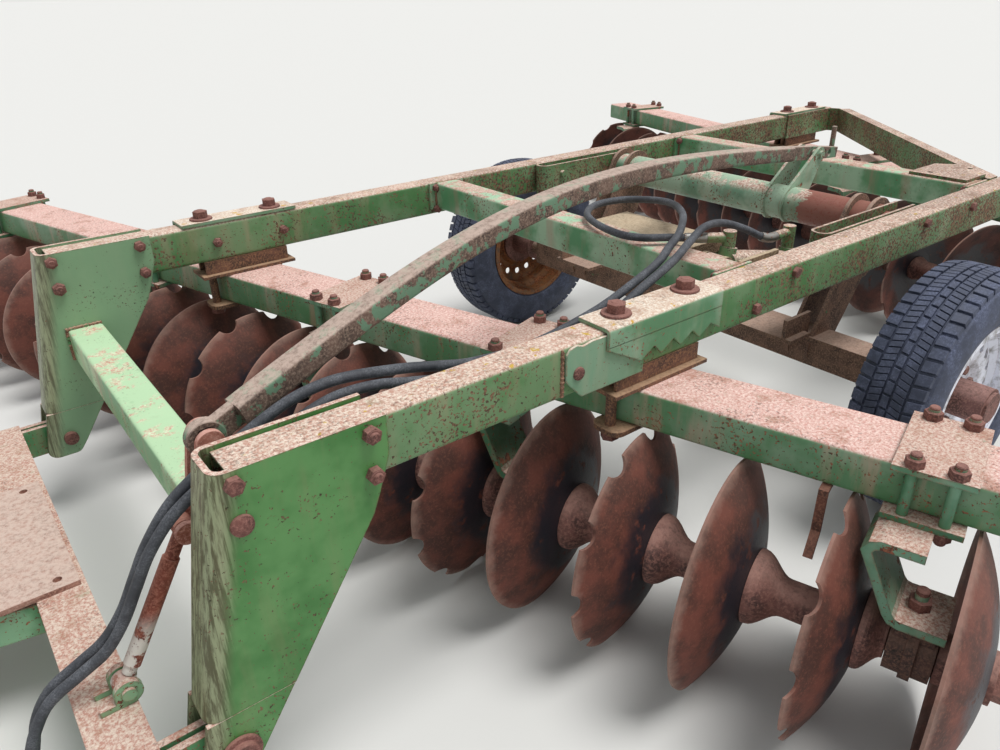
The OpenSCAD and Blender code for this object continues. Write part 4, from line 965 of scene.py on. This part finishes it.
@dataclass
class Hoses:
    """The two hydraulic hoses from the cylinder's ports to their couplers on the ground."""

    diameter: float = 20.0
    ferrule: float = 26.0
    ferrule_length: float = 52.0
    step: float = 14.0
    routes: dict[str, tuple] = field(default_factory=lambda: {"a": ROUTE_A, "b": ROUTE_B})

    def hose(self, key: str, path: np.ndarray) -> tuple[bpy.types.Object, np.ndarray]:
        """Lays one hose as a curve and returns it with its points in metres."""
        data = bpy.data.curves.new(f"hydraulic_hose_{key}", "CURVE")
        data.dimensions = "3D"
        data.bevel_depth, data.bevel_resolution = self.diameter / 2 * MM, 3
        data.use_fill_caps = True
        spline = data.splines.new("POLY")
        spline.points.add(len(path) - 1)
        points = Piece.place.metres(path)
        spline.points.foreach_set("co", np.hstack([points, np.ones((len(points), 1))]).ravel())
        hose = bpy.data.objects.new(f"hydraulic_hose_{key}", data)
        bpy.context.scene.collection.objects.link(hose)
        data.materials.append(HOSE_RUBBER.material())
        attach(hose, "frame")
        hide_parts(f"hose_{key}")
        return hose, points

    def build(self) -> None:
        for key, route in self.routes.items():
            path = smooth_path(route[::-1], self.step)
            hose, points = self.hose(key, path)
            ends = Piece(f"hose_{key}_ferrules", COUPLER_ZINC, "frame", "coupler_steel")
            count = round(self.ferrule_length / self.step)
            bulge = [1.0, 1.06, 1.0, 1.0, 0.93][:count + 1]
            for run in (path[:count + 1], path[::-1][:count + 1]):
                ends.add(sweep(run, ring(self.ferrule / 2, 20), bulge[:len(run)], up=(0.13, 0.21, 1)))
            ends.build()


# Frame


@dataclass
class MainFrame:
    """Side beams and cross tubes with their welds and bolts.

    Attributes:
        beam_width, beam_height, beam_radius: The side beams' section.
        beam_front, left_rear, right_rear: Their ends in x.
        tube, tube_radius: The cross tubes' square section.
        front_tube: The front tube's middle in x and z.
        cross_tubes: The middles of the bolted tubes in x.
        near_heads, inner_nuts: Bolts on the beams in x and z.
    """

    beam_width: float = 76.0
    beam_height: float = 110.0
    beam_radius: float = 11.0
    beam_front: float = -28.0
    left_rear: float = -3330.0
    right_rear: float = -3724.0
    tube: float = 90.0
    tube_radius: float = 9.0
    front_tube: tuple[float, float] = (-68.0, 515.0)
    cross_tubes: tuple[float, float] = (-1290.0, -2563.0)
    near_heads: tuple[tuple[float, float], ...] = ((-1283.0, 690.0), (-1430.0, 747.0), (-2076.0, 745.0),
                                                   (-2362.0, 742.0))
    inner_nuts: tuple[tuple[float, float], ...] = ((-471.0, 715.0), (-678.0, 714.0))

    def beams(self) -> None:
        """The two side beams."""
        piece = Piece("side_beams_rolled", FRAME_PAINT, "frame", "frame_paint", ["side_beams"])
        for side, rear in ((1, self.left_rear), (-1, self.right_rear)):
            length = self.beam_front - rear
            piece.add(box_section(self.beam_width, self.beam_height, length, 6, self.beam_radius),
                      along_x(rear, side * Y_MID, (BEAM_TOP + BEAM_LOW) / 2))
        piece.build()

    def tubes(self) -> None:
        """The front tube and the two bolted cross tubes with their end plates."""
        front = Piece("front_tube_rolled", FRONT_PAINT, "frame", "frame_paint")
        x, z = self.front_tube
        front.add(box_section(self.tube, self.tube, 1204, 6, self.tube_radius), along_y(x, -602, z))
        front.build()
        piece = Piece("cross_tubes_rolled", TUBE_PAINT, "frame", "frame_paint", ["cross_tubes"])
        for x in self.cross_tubes:
            piece.add(box_section(self.tube, self.tube, 1208, 6, self.tube_radius), along_y(x, -604, 725))
            for side in BOTH:
                piece.add(block((x - 70, 604, 680), (x + 70, 612, 770), 0, 1.5), side)
        piece.build()
        beads = Piece("cross_tube_welds", WELD_RUST, "frame", "frame_paint")
        for x in self.cross_tubes:
            for side in BOTH:
                beads.add(weld([(x - 45, 602, 768), (x + 45, 602, 768)], 4.5, 5), side)
                beads.add(weld([(x + 46, 602, 765), (x + 46, 602, 685)], 4.5, 6), side)
                beads.add(weld([(x - 46, 602, 765), (x - 46, 602, 685)], 4.5, 7), side)
        x, z = self.front_tube
        corner = [(x - 44, 600, z + 46), (x + 40, 600, z + 46), (x + 46, 600, z + 38), (x + 46, 600, z - 44)]
        for side in BOTH:
            beads.add(weld(corner, 5.5, 9), side)
        beads.build()

    def bolts(self) -> None:
        """Bolts along the near and far beams that hold tube ends, hangers and brackets."""
        piece = Piece("frame_bolts", NUT_RUST, "frame", "frame_paint")
        head, nut = fastener(Head.HEX, 16), fastener(Head.NUT, 16, 6)
        middle, rear = self.cross_tubes
        for i, x in enumerate((middle + 46, middle - 52, rear + 52, rear - 52)):
            for side in BOTH:
                for z in (680, 753):
                    piece.add(nut, side @ spot(x, 604, z, up=(0, -1, 0), turn=11 * i + z))
        for x, z in self.near_heads:
            for side in BOTH:
                piece.add(head, side @ spot(x, Y_OUT, z, up=(0, 1, 0), turn=x + z))
        for x, z in self.inner_nuts:
            piece.add(nut, BOTH[1] @ spot(x, Y_IN, z, up=(0, -1, 0), turn=x))
        piece.build()

    def build(self) -> None:
        """Makes the beams, the tubes, their welds and their bolts."""
        self.beams()
        self.tubes()
        self.bolts()


@dataclass
class HitchPlates:
    """The tall U-shaped plates at the front ends of the beams, with their bolts and pivot bosses.

    Attributes:
        top, drop, foot_ahead: Where the folded plate starts, how far down it goes, and its foot's lead.
        rear_edge: The webs' rear edge as heights and x.
        thick, bend: The sheet and the bend's radius.
        pivot: The hitch pin in x and z.
        bolts: Each bolt's x, z, head and size.
    """

    top: float = 774.0
    drop: float = 444.0
    foot_ahead: float = 87.0
    rear_edge: tuple[tuple[float, float], ...] = ((225, 5), (598, -247), (635, -262), (700, -285),
                                                  (710, -286), (774, -286))
    thick: float = 10.0
    bend: float = 24.0
    pivot: tuple[float, float] = (45.0, 245.0)
    bolts: tuple[tuple[float, float, Head, float], ...] = (
        (-31, 752, Head.HEX, 18), (-32, 679, Head.ROUND, 20), (-254, 751, Head.NUT, 18),
        (-253, 675, Head.NUT, 18))

    def front(self, z: float) -> float:
        """Where the front flange lies at a height."""
        return self.foot_ahead * (self.top - z) / self.drop

    def back(self, z: float) -> float:
        """Where the webs' rear edge lies at a height."""
        return float(np.interp(z, *zip(*self.rear_edge)))

    def section(self, z: float) -> list[tuple[float, float, float]]:
        """The U at a height, as one closed loop."""
        front, back, t = self.front(z), self.back(z), self.thick
        low, high = Y_IN - t, Y_OUT + t
        outer = fillet([(back, low), (front, low), (front, high), (back, high)],
                       [0, self.bend, self.bend, 0], 6)
        inner = fillet([(back, high - t), (front - t, high - t), (front - t, low + t), (back, low + t)],
                       [0, self.bend - t, self.bend - t, 0], 6)
        return [(x, y, z) for x, y in outer + inner]

    def build(self) -> None:
        """Makes both plates, their pivot bosses and bolts."""
        piece = Piece("hitch_plates_folded", PLATE_PAINT, "frame", "frame_paint", ["hitch_plates"])
        heights = [self.top, self.top - 1.5, 710, 700, 635, 598, 500, 420, 332, 330]
        shell = loft([self.section(z) for z in heights])
        low = fillet([(-66, 330), (5, 225), (30, 192), (95, 192), (113, 210), (87, 330)],
                     [0, 30, 22, 30, 22, 0])
        for side in BOTH:
            piece.add(shell, side)
            for y in (Y_IN - self.thick, Y_OUT):
                piece.add(plate(low, y, self.thick), side)
        piece.build(40)
        boss = Piece("hitch_pivot_bosses", NUT_RUST, "frame", "frame_paint")
        x, z = self.pivot
        flange = lathe([(0, 0), (34, 0), (35, 1), (35, 7), (33, 8), (0, 8)], 48)
        collar = lathe([(0, 0), (27, 0), (27, 8), (25, 10), (20, 10), (19, 9), (0, 9)], 40)
        for side in BOTH:
            boss.add(pin_y(x, z, 19, 588, 124), side)
            boss.add(flange.moved(spot(x, Y_OUT + self.thick, z, up=(0, 1, 0))), side)
            boss.add(collar.moved(spot(x, Y_OUT + self.thick + 8, z, up=(0, 1, 0))), side)
        boss.build()
        bolts = Piece("hitch_plate_bolts", NUT_RUST, "frame", "frame_paint")
        for x, z, kind, size in self.bolts:
            outside = spot(x, Y_OUT + self.thick, z, up=(0, 1, 0), turn=x + z)
            inside = spot(x, Y_IN - self.thick, z, up=(0, -1, 0), turn=x)
            for side in BOTH:
                bolts.add(fastener(kind, size, 6), side @ outside)
                bolts.add(fastener(Head.NUT, size, 6), side @ inside)
        bolts.build()


@dataclass
class GangSaddles:
    """The toothed, bent plates that hang the gang beams under the side beams.

    Attributes:
        plate_length, flange_y: The plate's length, and where its flange hangs.
        bolt, bolt_x: The long bolts' size, and how far they stand from the middle.
        under, top: The heights of the plate's two faces.
        tooth, tooth_depth: The flange's teeth.
        clamp_z: The lower clamp plate's underside.
    """

    plate_length: float = 350.0
    flange_y: float = 694.3
    bolt: float = 24.0
    bolt_x: float = 106.0
    under: float = 770.4
    top: float = 780.0
    tooth: float = 61.0
    tooth_depth: float = 23.0
    clamp_z: float = 506.0

    def crossings(self) -> list[tuple[float, Matrix]]:
        """Where each saddle's middle lies along its beam, with its side of the machine."""
        front, rear = math.tan(math.radians(FRONT_ANGLE)), math.tan(math.radians(REAR_ANGLE))
        return [(FRONT_GANG_X - Y_MID * front, BOTH[0]), (REAR_GANG_X + Y_MID * rear, BOTH[0]),
                (FRONT_GANG_X + Y_MID * front, BOTH[1]), (REAR_GANG_X - Y_MID * rear, BOTH[1])]

    def teeth(self) -> list[tuple[float, float]]:
        """The flange's outline in x and z, its lower edge cut like a saw."""
        low, half = 684.0, self.plate_length / 2
        outline = [(half, self.top), (-half, self.top), (-half, low + 4)]
        for i in range(3, -1, -1):
            tip = 78 - i * self.tooth
            outline += [(78 - (i + 0.6) * self.tooth, low + self.tooth_depth), (tip, low)]
        return outline + [(half, self.top - 46)]

    def cheek(self, end: float) -> Form:
        """The flame-cut cheek plate ahead of the toothed flange, its corners worn round."""
        outline = [(63, 652), (end - 42, 652), (end, 696), (end, 752), (end - 10, 764), (end - 26, 768),
                   (end - 44, 762), (end - 66, 766), (63, 764)]
        return plate(fillet(outline, [0, 8, 10, 8, 6, 8, 8, 8, 0]), 688, 6)

    def build(self) -> None:
        """Makes the plates, straps, clamp plates and the long bolts."""
        plates = Piece("gang_saddles_bent", SADDLE_PAINT, "frame", "frame_paint", ["gang_saddles"])
        straps = Piece("gang_saddle_straps", SADDLE_RUST, "frame", "frame_paint")
        nuts = Piece("gang_saddle_nuts", NUT_RUST, "frame", "frame_paint")
        seams = Piece("gang_saddle_seams", WELD_RUST, "frame", "frame_paint")
        half = self.plate_length / 2
        inner, outer = self.flange_y, self.flange_y + 8
        bend = fillet([(Y_IN, self.under), (inner, self.under), (inner, 740), (outer, 740), (outer, self.top),
                       (Y_IN, self.top)], [0, 3, 0, 0, 11, 0], 6)
        clamp = fillet([(-131, -42), (131, -42), (131, 42), (-131, 42)], 26)
        stud = lathe([(0, 498), (11, 498), (12, 500), (12, 803), (11, 804), (0, 804)], 24)
        for n, (x, side) in enumerate(self.crossings()):
            here = side @ Matrix.Translation((x, 0, 0))
            plates.add(prism(bend, self.plate_length, 1.0), here @ along_x(-half, 0, 0))
            plates.add(plate([(a, min(b, 742)) for a, b in self.teeth()], self.flange_y, 8), here)
            straps.add(block((-145, 600, 610), (145, 700, 620)), here)
            for y in (616, 676):
                straps.add(block((-129, y, 620), (129, y + 8, 660)), here)
            straps.add(prism(clamp, 14, 1.5), here @ Matrix.Translation((0, Y_MID, self.clamp_z)))
            end = min(280.0, -293.0 - x)
            plates.add(self.cheek(end), here)
            nuts.add(fastener(Head.ROUND, 15), here @ spot(end - 32, 694, 707, up=(0, 1, 0)))
            seams.add(weld([(end + 6, Y_OUT, 664), (end + 6, Y_OUT, 766)], 4.5, 31 + n), here)
            for s in (-1, 1):
                at = s * self.bolt_x
                above = spot(at, Y_MID, self.top, turn=13 * n + 40 * s)
                below = spot(at, Y_MID, self.clamp_z, up=(0, 0, -1), turn=29 * n)
                straps.add(stud, here @ Matrix.Translation((at, Y_MID, 0)))
                nuts.add(fastener(Head.WASHER_NUT, self.bolt, 3), here @ above)
                nuts.add(fastener(Head.NUT, self.bolt, 0), here @ below)
        for piece in (plates, straps, nuts, seams):
            piece.build()


# Gangs


@dataclass
class Gang:
    """A gang: its box beam, the clamps' nuts and the discs' finish.

    Attributes:
        side: Front or rear.
        first: Where along the beam the first disc stands.
        gaps: The gaps between discs that hold a bearing, counted from the first disc.
        span: The beam's two ends.
        axle_ahead, axle_z: How far the axle lies ahead of the beam's middle, and its height.
        beam_width: The beam's size across.
        clamp_shift: How far a clamp stands from its bearing's gap.
        shifted: The front gang's gap whose clamp stands further off, and how far.
        clamp_bolts: Where a clamp's bolts stand from its middle, across the beam and along it.
        clamp_thick: How thick its plates are.
        foot_bolt: Where the foot's bolt is along the axle, and its height.
    """

    side: str
    first: float
    gaps: tuple[int, ...]
    span: tuple[float, float]
    axle_ahead: float = 123.0
    axle_z: float = 257.0
    beam_width: float = 165.0
    clamp_shift: float = 54.0
    shifted: tuple[int, float] = (12, 94.0)
    clamp_bolts: tuple[float, float] = (97.5, 34.5)
    clamp_thick: float = 12.0
    foot_bolt: tuple[float, float] = (-21.0, 353.0)

    def matrix(self) -> Matrix:
        """The gang's own place: x across its beam, y along it, mirrored at the rear."""
        if self.side == "front":
            turn = Matrix.Rotation(math.radians(FRONT_ANGLE), 4, "Z")
            return Matrix.Translation((FRONT_GANG_X, 0, 0)) @ turn
        turn = Matrix.Rotation(math.radians(-REAR_ANGLE), 4, "Z")
        return Matrix.Translation((REAR_GANG_X, 0, 0)) @ turn @ Matrix.Scale(-1, 4, (0, 1, 0))

    def stations(self) -> list[tuple[float, float]]:
        """Where along the beam each bearing's gap has its middle, and each clamp its own."""
        moved, far = self.shifted
        middles = [self.first + DISC_PITCH * (g + 0.5) for g in self.gaps]
        return [(y, y - (far if g == moved and self.side == "front" else self.clamp_shift))
                for g, y in zip(self.gaps, middles)]

    def beam(self) -> None:
        """The wide flat box beam."""
        piece = Piece(f"{self.side}_gang_beam_rolled", GANG_PAINT, "frame", "gang_beam_rust",
                      [f"{self.side}_gang_beam"])
        low, high = self.span
        beam = box_section(self.beam_width, GANG_TOP - GANG_LOW, high - low, 6, 11)
        piece.add(beam, self.matrix() @ along_y(0, low, (GANG_TOP + GANG_LOW) / 2))
        piece.build()

    def build(self) -> None:
        """Adds the beam, the clamps' nuts and the discs' finish."""
        self.beam()
        place = self.matrix()
        nuts = Piece(f"{self.side}_clamp_nuts", NUT_RUST, "frame", "standard_paint")
        nut = fastener(Head.NUT, 20, 10)
        across, apart = self.clamp_bolts
        for middle, y in self.stations():
            for x in (-across, across):
                for dy in (-apart, apart):
                    turn = (x * 3 + y * 7 + dy) % 60
                    above = spot(x, y + dy, GANG_TOP + self.clamp_thick, turn=turn)
                    below = spot(x, y + dy, GANG_LOW - self.clamp_thick, up=(0, 0, -1), turn=turn + 13)
                    nuts.add(nut, place @ above)
                    nuts.add(nut, place @ below)
            along, high = self.foot_bolt
            foot = spot(self.axle_ahead, middle + along, high, turn=y % 60)
            nuts.add(fastener(Head.NUT, 24, 22), place @ foot)
        nuts.build()
        along = (place @ Vector((0, 1, 0, 0))).to_3d()
        axle = Piece.place.metres(tuple((place @ Vector((self.axle_ahead, 0, self.axle_z))))[:3])
        steel = DiscSteel(f"rusted_disc_steel_{self.side}", tuple(axle), tuple(along))
        CAD_FINISHES[f"{self.side}_plain_discs"] = steel
        CAD_FINISHES[f"{self.side}_notched_discs"] = steel


# Wheels


# Each row of tread blocks: its near and far edge in millimetres from the middle, its start and end in parts
# of a pitch, its slant in degrees per millimetre and how far it reaches below the groove.
TREAD_ROWS = (
    (15, 44, 0.08, 0.52, 0.045, 0),
    (15, 44, 0.58, 1.0, 0.045, 0),
    (50, 84, 0.14, 0.92, -0.02, 3),
)


@dataclass
class Wheel:
    """A transport wheel: a treaded tyre and the hub's nuts.

    Attributes:
        side: Left or right.
        diameter, width: The tyre's size.
        pitches: How often the tread's pattern repeats round the tyre.
        groove: The tread's depth.
        axle: The wheel's middle in x and z.
        track: The wheel's middle in y.
        nut_circle: Radius of the circle of wheel nuts.
    """

    side: str
    diameter: float = 710.0
    width: float = 205.0
    pitches: int = 62
    groove: float = 8.0
    axle: tuple[float, float] = (-1887.0, 355.0)
    track: float = 913.5
    nut_circle: float = 74.0

    def place(self) -> Matrix:
        """The wheel's own place, its axis along z and the outside up."""
        s = 1 if self.side == "left" else -1
        x, z = self.axle
        return spot(x, s * self.track, z, up=(0, s, 0))

    def carcass(self) -> Form:
        """The tyre below its tread, turned as one closed section."""
        r, w = self.diameter / 2 - self.groove, self.width / 2
        bead, seat = 203.3, 79.2
        outside = [(bead, seat), (bead + 12, seat + 1), (bead + 19, seat + 5), (bead + 24, 92),
                   (bead + 33, 95), (bead + 40, w - 6), (bead + 50, w - 2.5), (bead + 62, w), (bead + 76, w),
                   (bead + 90, w - 2), (bead + 102, w - 4.5), (bead + 112, w - 8), (bead + 124, w - 13),
                   (r - 14, w - 21), (r - 5, w - 29), (r, w - 42), (r + 0.6, 0)]
        inside = [(r - 18, w - 36), (bead + 60, w - 16), (bead + 20, seat - 20), (bead, seat - 24)]
        mirrored = [(a, -b) for a, b in outside[-2::-1]]
        return lathe(outside + mirrored + [(a, -b) for a, b in inside[::-1]] + inside, 120, True)

    def block(self, z0: float, z1: float, a0: float, a1: float, lean: float, low: float, high: float) -> Form:
        """A tread block between two widths and two angles, leaning with the tread's slant."""
        points, faces = [], []
        for r, grow in ((low, 0.0), (high - 1.2, 0.0), (high, -1.0)):
            for z, s in ((z0, -1), (z1, 1)):
                for a, t in ((a0, -1), (a1, 1)):
                    zz = z + s * grow
                    drop = max(0.0, abs(zz) - 58) ** 2 * 0.0105
                    aa = math.radians(a + lean * zz) + t * grow / high
                    points.append(((r - drop) * math.cos(aa), (r - drop) * math.sin(aa), zz))
        for k in (0, 4):
            for a, b in ((0, 1), (1, 3), (3, 2), (2, 0)):
                faces.append((k + a, k + b, k + b + 4, k + a + 4))
        faces += [(0, 2, 3, 1), (8, 9, 11, 10)]
        return Form(np.array(points, float), faces)

    def tread(self) -> list[Form]:
        """Shoulder blocks, two rows of slanted blocks and a middle rib cut by sipes."""
        forms, step = [], 360 / self.pitches
        low, high = self.diameter / 2 - self.groove - 6, self.diameter / 2
        for i in range(self.pitches):
            a = i * step
            forms.append(self.block(-9, 9, a + 0.1 * step, a + 0.93 * step, 0.02, low, high))
            for s, shift in ((1, 0.0), (-1, 0.5)):
                b = a + shift * step
                for near, far, start, end, lean, foot in TREAD_ROWS:
                    inner, outer = sorted((s * near, s * far))
                    forms.append(self.block(inner, outer, b + start * step, b + end * step, lean * s,
                                            low - foot, high))
        return forms

    def build(self) -> None:
        """Makes the tyre and the hub's nuts."""
        place = self.place()
        body = f"{self.side}_wheel"
        tyre = Piece(f"{self.side}_tyre_treaded", TYRE_RUBBER, body, "tyre_rubber", [f"{self.side}_tyre"])
        tyre.add(self.carcass(), place)
        for form in self.tread():
            tyre.add(form, place)
        tyre.build(28)
        nuts = Piece(f"{self.side}_wheel_nuts", HUB_NUTS, body, "hub_rust")
        for i in range(6):
            a = math.radians(60 * i + 14)
            at = spot(self.nut_circle * math.cos(a), self.nut_circle * math.sin(a), 30, turn=20 * i)
            nuts.add(fastener(Head.HEX, 16), place @ at)
        nuts.build()


# Linkage


@dataclass
class LevellingRod:
    """The arched rod from the bell crank to the rockshaft's lever, with its holed tail.

    Attributes:
        front, lever_eye: Its two pins.
        arch: The two points that pull its curve up, along the rod and above its front pin.
        height, width: Its section.
        tail: How far it runs on behind the lever's pin.
    """

    front: tuple[float, float, float] = (-55.0, 500.0, 728.0)
    lever_eye: tuple[float, float, float] = (-2225.0, 200.0, 854.0)
    arch: tuple[tuple[float, float], ...] = ((737.0, 268.0), (964.0, 287.0))
    height: float = 45.0
    width: float = 50.0
    tail: float = 198.0

    def point(self, t: float) -> np.ndarray:
        """A point on the rod's middle line, from 0 at the crank to 1 at the lever."""
        a, b = np.array(self.front), np.array(self.lever_eye)
        flat = (b - a) * (1, 1, 0)
        span = np.linalg.norm(flat)
        p = np.array([(0, 0), *self.arch, (span, b[2] - a[2])])
        w = np.array([(1 - t) ** 3, 3 * (1 - t) ** 2 * t, 3 * (1 - t) * t * t, t ** 3])
        s, z = w @ p
        return a + flat / span * s + (0, 0, z)

    def build(self) -> None:
        """Makes the rod, its eyes and the tail."""
        piece = Piece("levelling_rod_forged", ROD_RUST, "levelling_rod", "levelling_rust", ["levelling_rod"])
        body = np.array([self.point(t) for t in np.linspace(0.028, 0.952, 60)])
        piece.add(sweep(body, rectangle(self.width, self.height, 9)))
        slim = np.array([self.point(t) for t in np.linspace(0.004, 0.034, 6)])
        piece.add(sweep(slim, rectangle(24, self.height, 5)))
        x, y, z = self.front
        eye = ring(21, 32)
        piece.add(plate(ring(33, 40), 0, 24, 1.5, [eye]).moved(Matrix.Translation((x, y - 12, z))))
        piece.add(self.tail_plate())
        way = self.way()
        foot = self.point(1.0) + way * (self.tail - 24)
        post = np.array([foot + (0, 0, 8), foot + (0, 0, 46), foot + (0, 0, 86)])
        piece.add(sweep(post, rectangle(14, 16, 3), up=tuple(way)))
        piece.build()

    def way(self) -> np.ndarray:
        """The rod's direction at its rear end."""
        way = self.point(1.0) - self.point(0.99)
        return way / np.linalg.norm(way)

    def tail_plate(self, thick: float = 26.0) -> Form:
        """The flat rear end with its row of holes, drawn in the rod's own upright plane."""
        a, b = np.array(self.front), np.array(self.lever_eye)
        flat = (b - a) * (1, 1, 0)
        flat /= np.linalg.norm(flat)

        def drawn(p: np.ndarray) -> tuple[float, float]:
            return float((p - a) @ flat), float(p[2])

        way = self.way()
        over = np.cross(np.cross(way, (0, 0, 1)), way)
        half = self.height / 2
        line = [self.point(t) for t in (0.94, 0.97, 1.0)] + [self.point(1.0) + way * self.tail]
        sizes = (1.0, 1.0, 1.0, 0.8)
        outline = [drawn(p - over * half * k) for p, k in zip(line, sizes)]
        outline += [drawn(p + over * half * k) for p, k in reversed(list(zip(line, sizes)))]
        holes = []
        for i in range(3):
            s, z = drawn(self.point(1.0) + way * (48 + 42 * i))
            holes.append([(s + u, z + v) for u, v in ring(12, 20)])
        across = np.cross(flat, (0, 0, 1))
        base = np.array((a[0], a[1], 0.0)) - across * thick / 2
        matrix = Matrix(((flat[0], 0, across[0], base[0]), (flat[1], 0, across[1], base[1]),
                         (0, 1, 0, 0), (0, 0, 0, 1)))
        return prism(outline, thick, 1.5, holes).moved(matrix)


CAD_FINISHES = {
    "diagonal_brace": FRAME_PAINT, "front_standards": STANDARD_PAINT, "rear_standards": STANDARD_PAINT,
    "front_bearings": BEARING_IRON, "rear_bearings": BEARING_IRON, "rockshaft_hangers": FRAME_PAINT,
    "cylinder_bracket": BRACKET_RUST, "crank_lugs": FRAME_PAINT, "loose_strap": STRAP_RUST,
    "coupler_a": COUPLER_ZINC, "coupler_b": COUPLER_ZINC, "front_spools": SPOOL_IRON,
    "rear_spools": SPOOL_IRON, "rockshaft_pipe": SHAFT_PAINT, "wheel_axle": AXLE_RUST,
    "left_rim": WHITE_RIM, "right_rim": ORANGE_RIM, "left_hub": HUB_RUST, "right_hub": HUB_RUST,
    "cylinder_barrel": FRAME_PAINT, "cylinder_rod": ROD_CHROME, "bell_crank": CRANK_RUST,
    "hitch_link": LINK_RUST, "hitch_tube": HITCH_PAINT, "tongue": HITCH_PAINT, "tongue_plate": PLATE_RUST,
}


# Studio


@dataclass
class Studio:
    """Floor, light and the camera at the photograph's viewing angle.

    Attributes:
        eye, yaw, pitch, roll: The camera's place in machine millimetres, and its angles in degrees.
        focal_px, width_px, sensor_mm: The photograph's focal length and width, and the camera's sensor.
        sky, sky_strength: What lights the machine from all round.
        backdrop: What the camera sees behind it.
        sun_strength, sun_width, sun_turn: The overhead lamp, its width and turn in degrees.
        floor_half: Half of the floor's side in metres.
    """

    eye: tuple[float, float, float] = (219.0, 1665.0, 1388.0)
    yaw: float = -127.27
    pitch: float = 26.99
    roll: float = 1.24
    focal_px: float = 773.3
    width_px: int = 1000
    sensor_mm: float = 36.0
    sky: str = "#f4f7fb"
    sky_strength: float = 0.54
    backdrop: str = "#e9e9e7"
    sun_strength: float = 2.5
    sun_width: float = 28.0
    sun_turn: tuple[float, float, float] = (-16.0, -14.0, 0.0)
    floor_half: float = 150.0

    def camera(self, placing: Placing) -> None:
        """Makes the camera from its place and angles in machine millimetres."""
        yaw, pitch, roll = (math.radians(a) for a in (self.yaw, self.pitch, self.roll))
        ahead = Vector((math.cos(pitch) * math.cos(yaw), math.cos(pitch) * math.sin(yaw), -math.sin(pitch)))
        right = ahead.cross(Vector((0, 0, 1))).normalized()
        down = ahead.cross(right)
        right, down = (math.cos(roll) * right + math.sin(roll) * down,
                       -math.sin(roll) * right + math.cos(roll) * down)
        matrix = Matrix((right, -down, -ahead)).transposed().to_4x4()
        matrix.translation = placing.metres(self.eye)
        data = bpy.data.cameras.new("view")
        data.sensor_width = self.sensor_mm
        data.lens = self.sensor_mm * self.focal_px / self.width_px
        data.clip_start, data.clip_end = 0.05, 400
        camera = bpy.data.objects.new("view", data)
        camera.matrix_world = matrix
        bpy.context.scene.collection.objects.link(camera)
        bpy.context.scene.camera = camera

    def light(self) -> None:
        """A pale sky all round and one large soft lamp overhead."""
        world = bpy.data.worlds.new("soft_sky")
        bpy.context.scene.world = world
        world.use_nodes = True
        tree = world.node_tree
        tree.nodes.clear()
        rays = add(tree, "ShaderNodeLightPath")
        direct = {0: rays.outputs["Is Camera Ray"], 1: rays.outputs["Is Glossy Ray"]}
        seen = add(tree, "ShaderNodeMath", direct, operation="MAXIMUM").outputs[0]
        plain = add(tree, "ShaderNodeBackground", {"Color": linear(self.sky), "Strength": self.sky_strength})
        shown = add(tree, "ShaderNodeBackground", {"Color": linear(self.backdrop), "Strength": 1.0})
        both = add(tree, "ShaderNodeMixShader", {0: seen, 1: plain.outputs[0], 2: shown.outputs[0]})
        add(tree, "ShaderNodeOutputWorld", {"Surface": both.outputs[0]})
        data = bpy.data.lights.new("overcast_sun", "SUN")
        data.energy, data.angle = self.sun_strength, math.radians(self.sun_width)
        lamp = bpy.data.objects.new("overcast_sun", data)
        lamp.rotation_euler = tuple(math.radians(a) for a in self.sun_turn)
        bpy.context.scene.collection.objects.link(lamp)

    def floor(self) -> None:
        """A wide pale floor under the machine."""
        mesh = bpy.data.meshes.new("floor")
        half = self.floor_half
        corners = [(-half, -half, 0), (half, -half, 0), (half, half, 0), (-half, half, 0)]
        mesh.from_pydata(corners, [], [(0, 1, 2, 3)])
        mesh.materials.append(FloorCoat().material())
        floor = bpy.data.objects.new("floor", mesh)
        bpy.context.scene.collection.objects.link(floor)


def dress_nodes(frame: dict[str, Any], finishes: dict[str, Finish]) -> None:
    """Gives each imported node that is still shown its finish.

    Args:
        finishes: Finish by node name.
    """
    for name, finish in finishes.items():
        obj = frame["nodes"][name]
        if obj.hide_render:
            continue
        for i in range(max(1, len(obj.material_slots))):
            if i < len(obj.material_slots):
                obj.material_slots[i].material = finish.material()
            else:
                obj.data.materials.append(finish.material())


def main() -> None:
    """Builds the scene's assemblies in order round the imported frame."""
    logging.basicConfig(level=logging.INFO, format="%(message)s")
    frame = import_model()
    placing = Placing.from_frame()
    Piece.place = placing
    scene = bpy.context.scene
    scene.view_settings.view_transform = "Standard"
    studio = Studio()
    studio.camera(placing)
    Hoses().build()
    studio.light()
    studio.floor()
    gangs = (Gang("front", first=-2192.0, gaps=(0, 5, 9, 12, 16), span=(-2210, 1480)),
             Gang("rear", first=-1349.0, gaps=(0, 5, 7, 11, 16), span=(-1480, 2400)))
    for part in (MainFrame(), HitchPlates(), GangSaddles(), *gangs, Wheel("left"), Wheel("right"),
                 LevellingRod()):
        part.build()
    dress_nodes(frame, CAD_FINISHES)


if __name__ == "__main__":
    main()
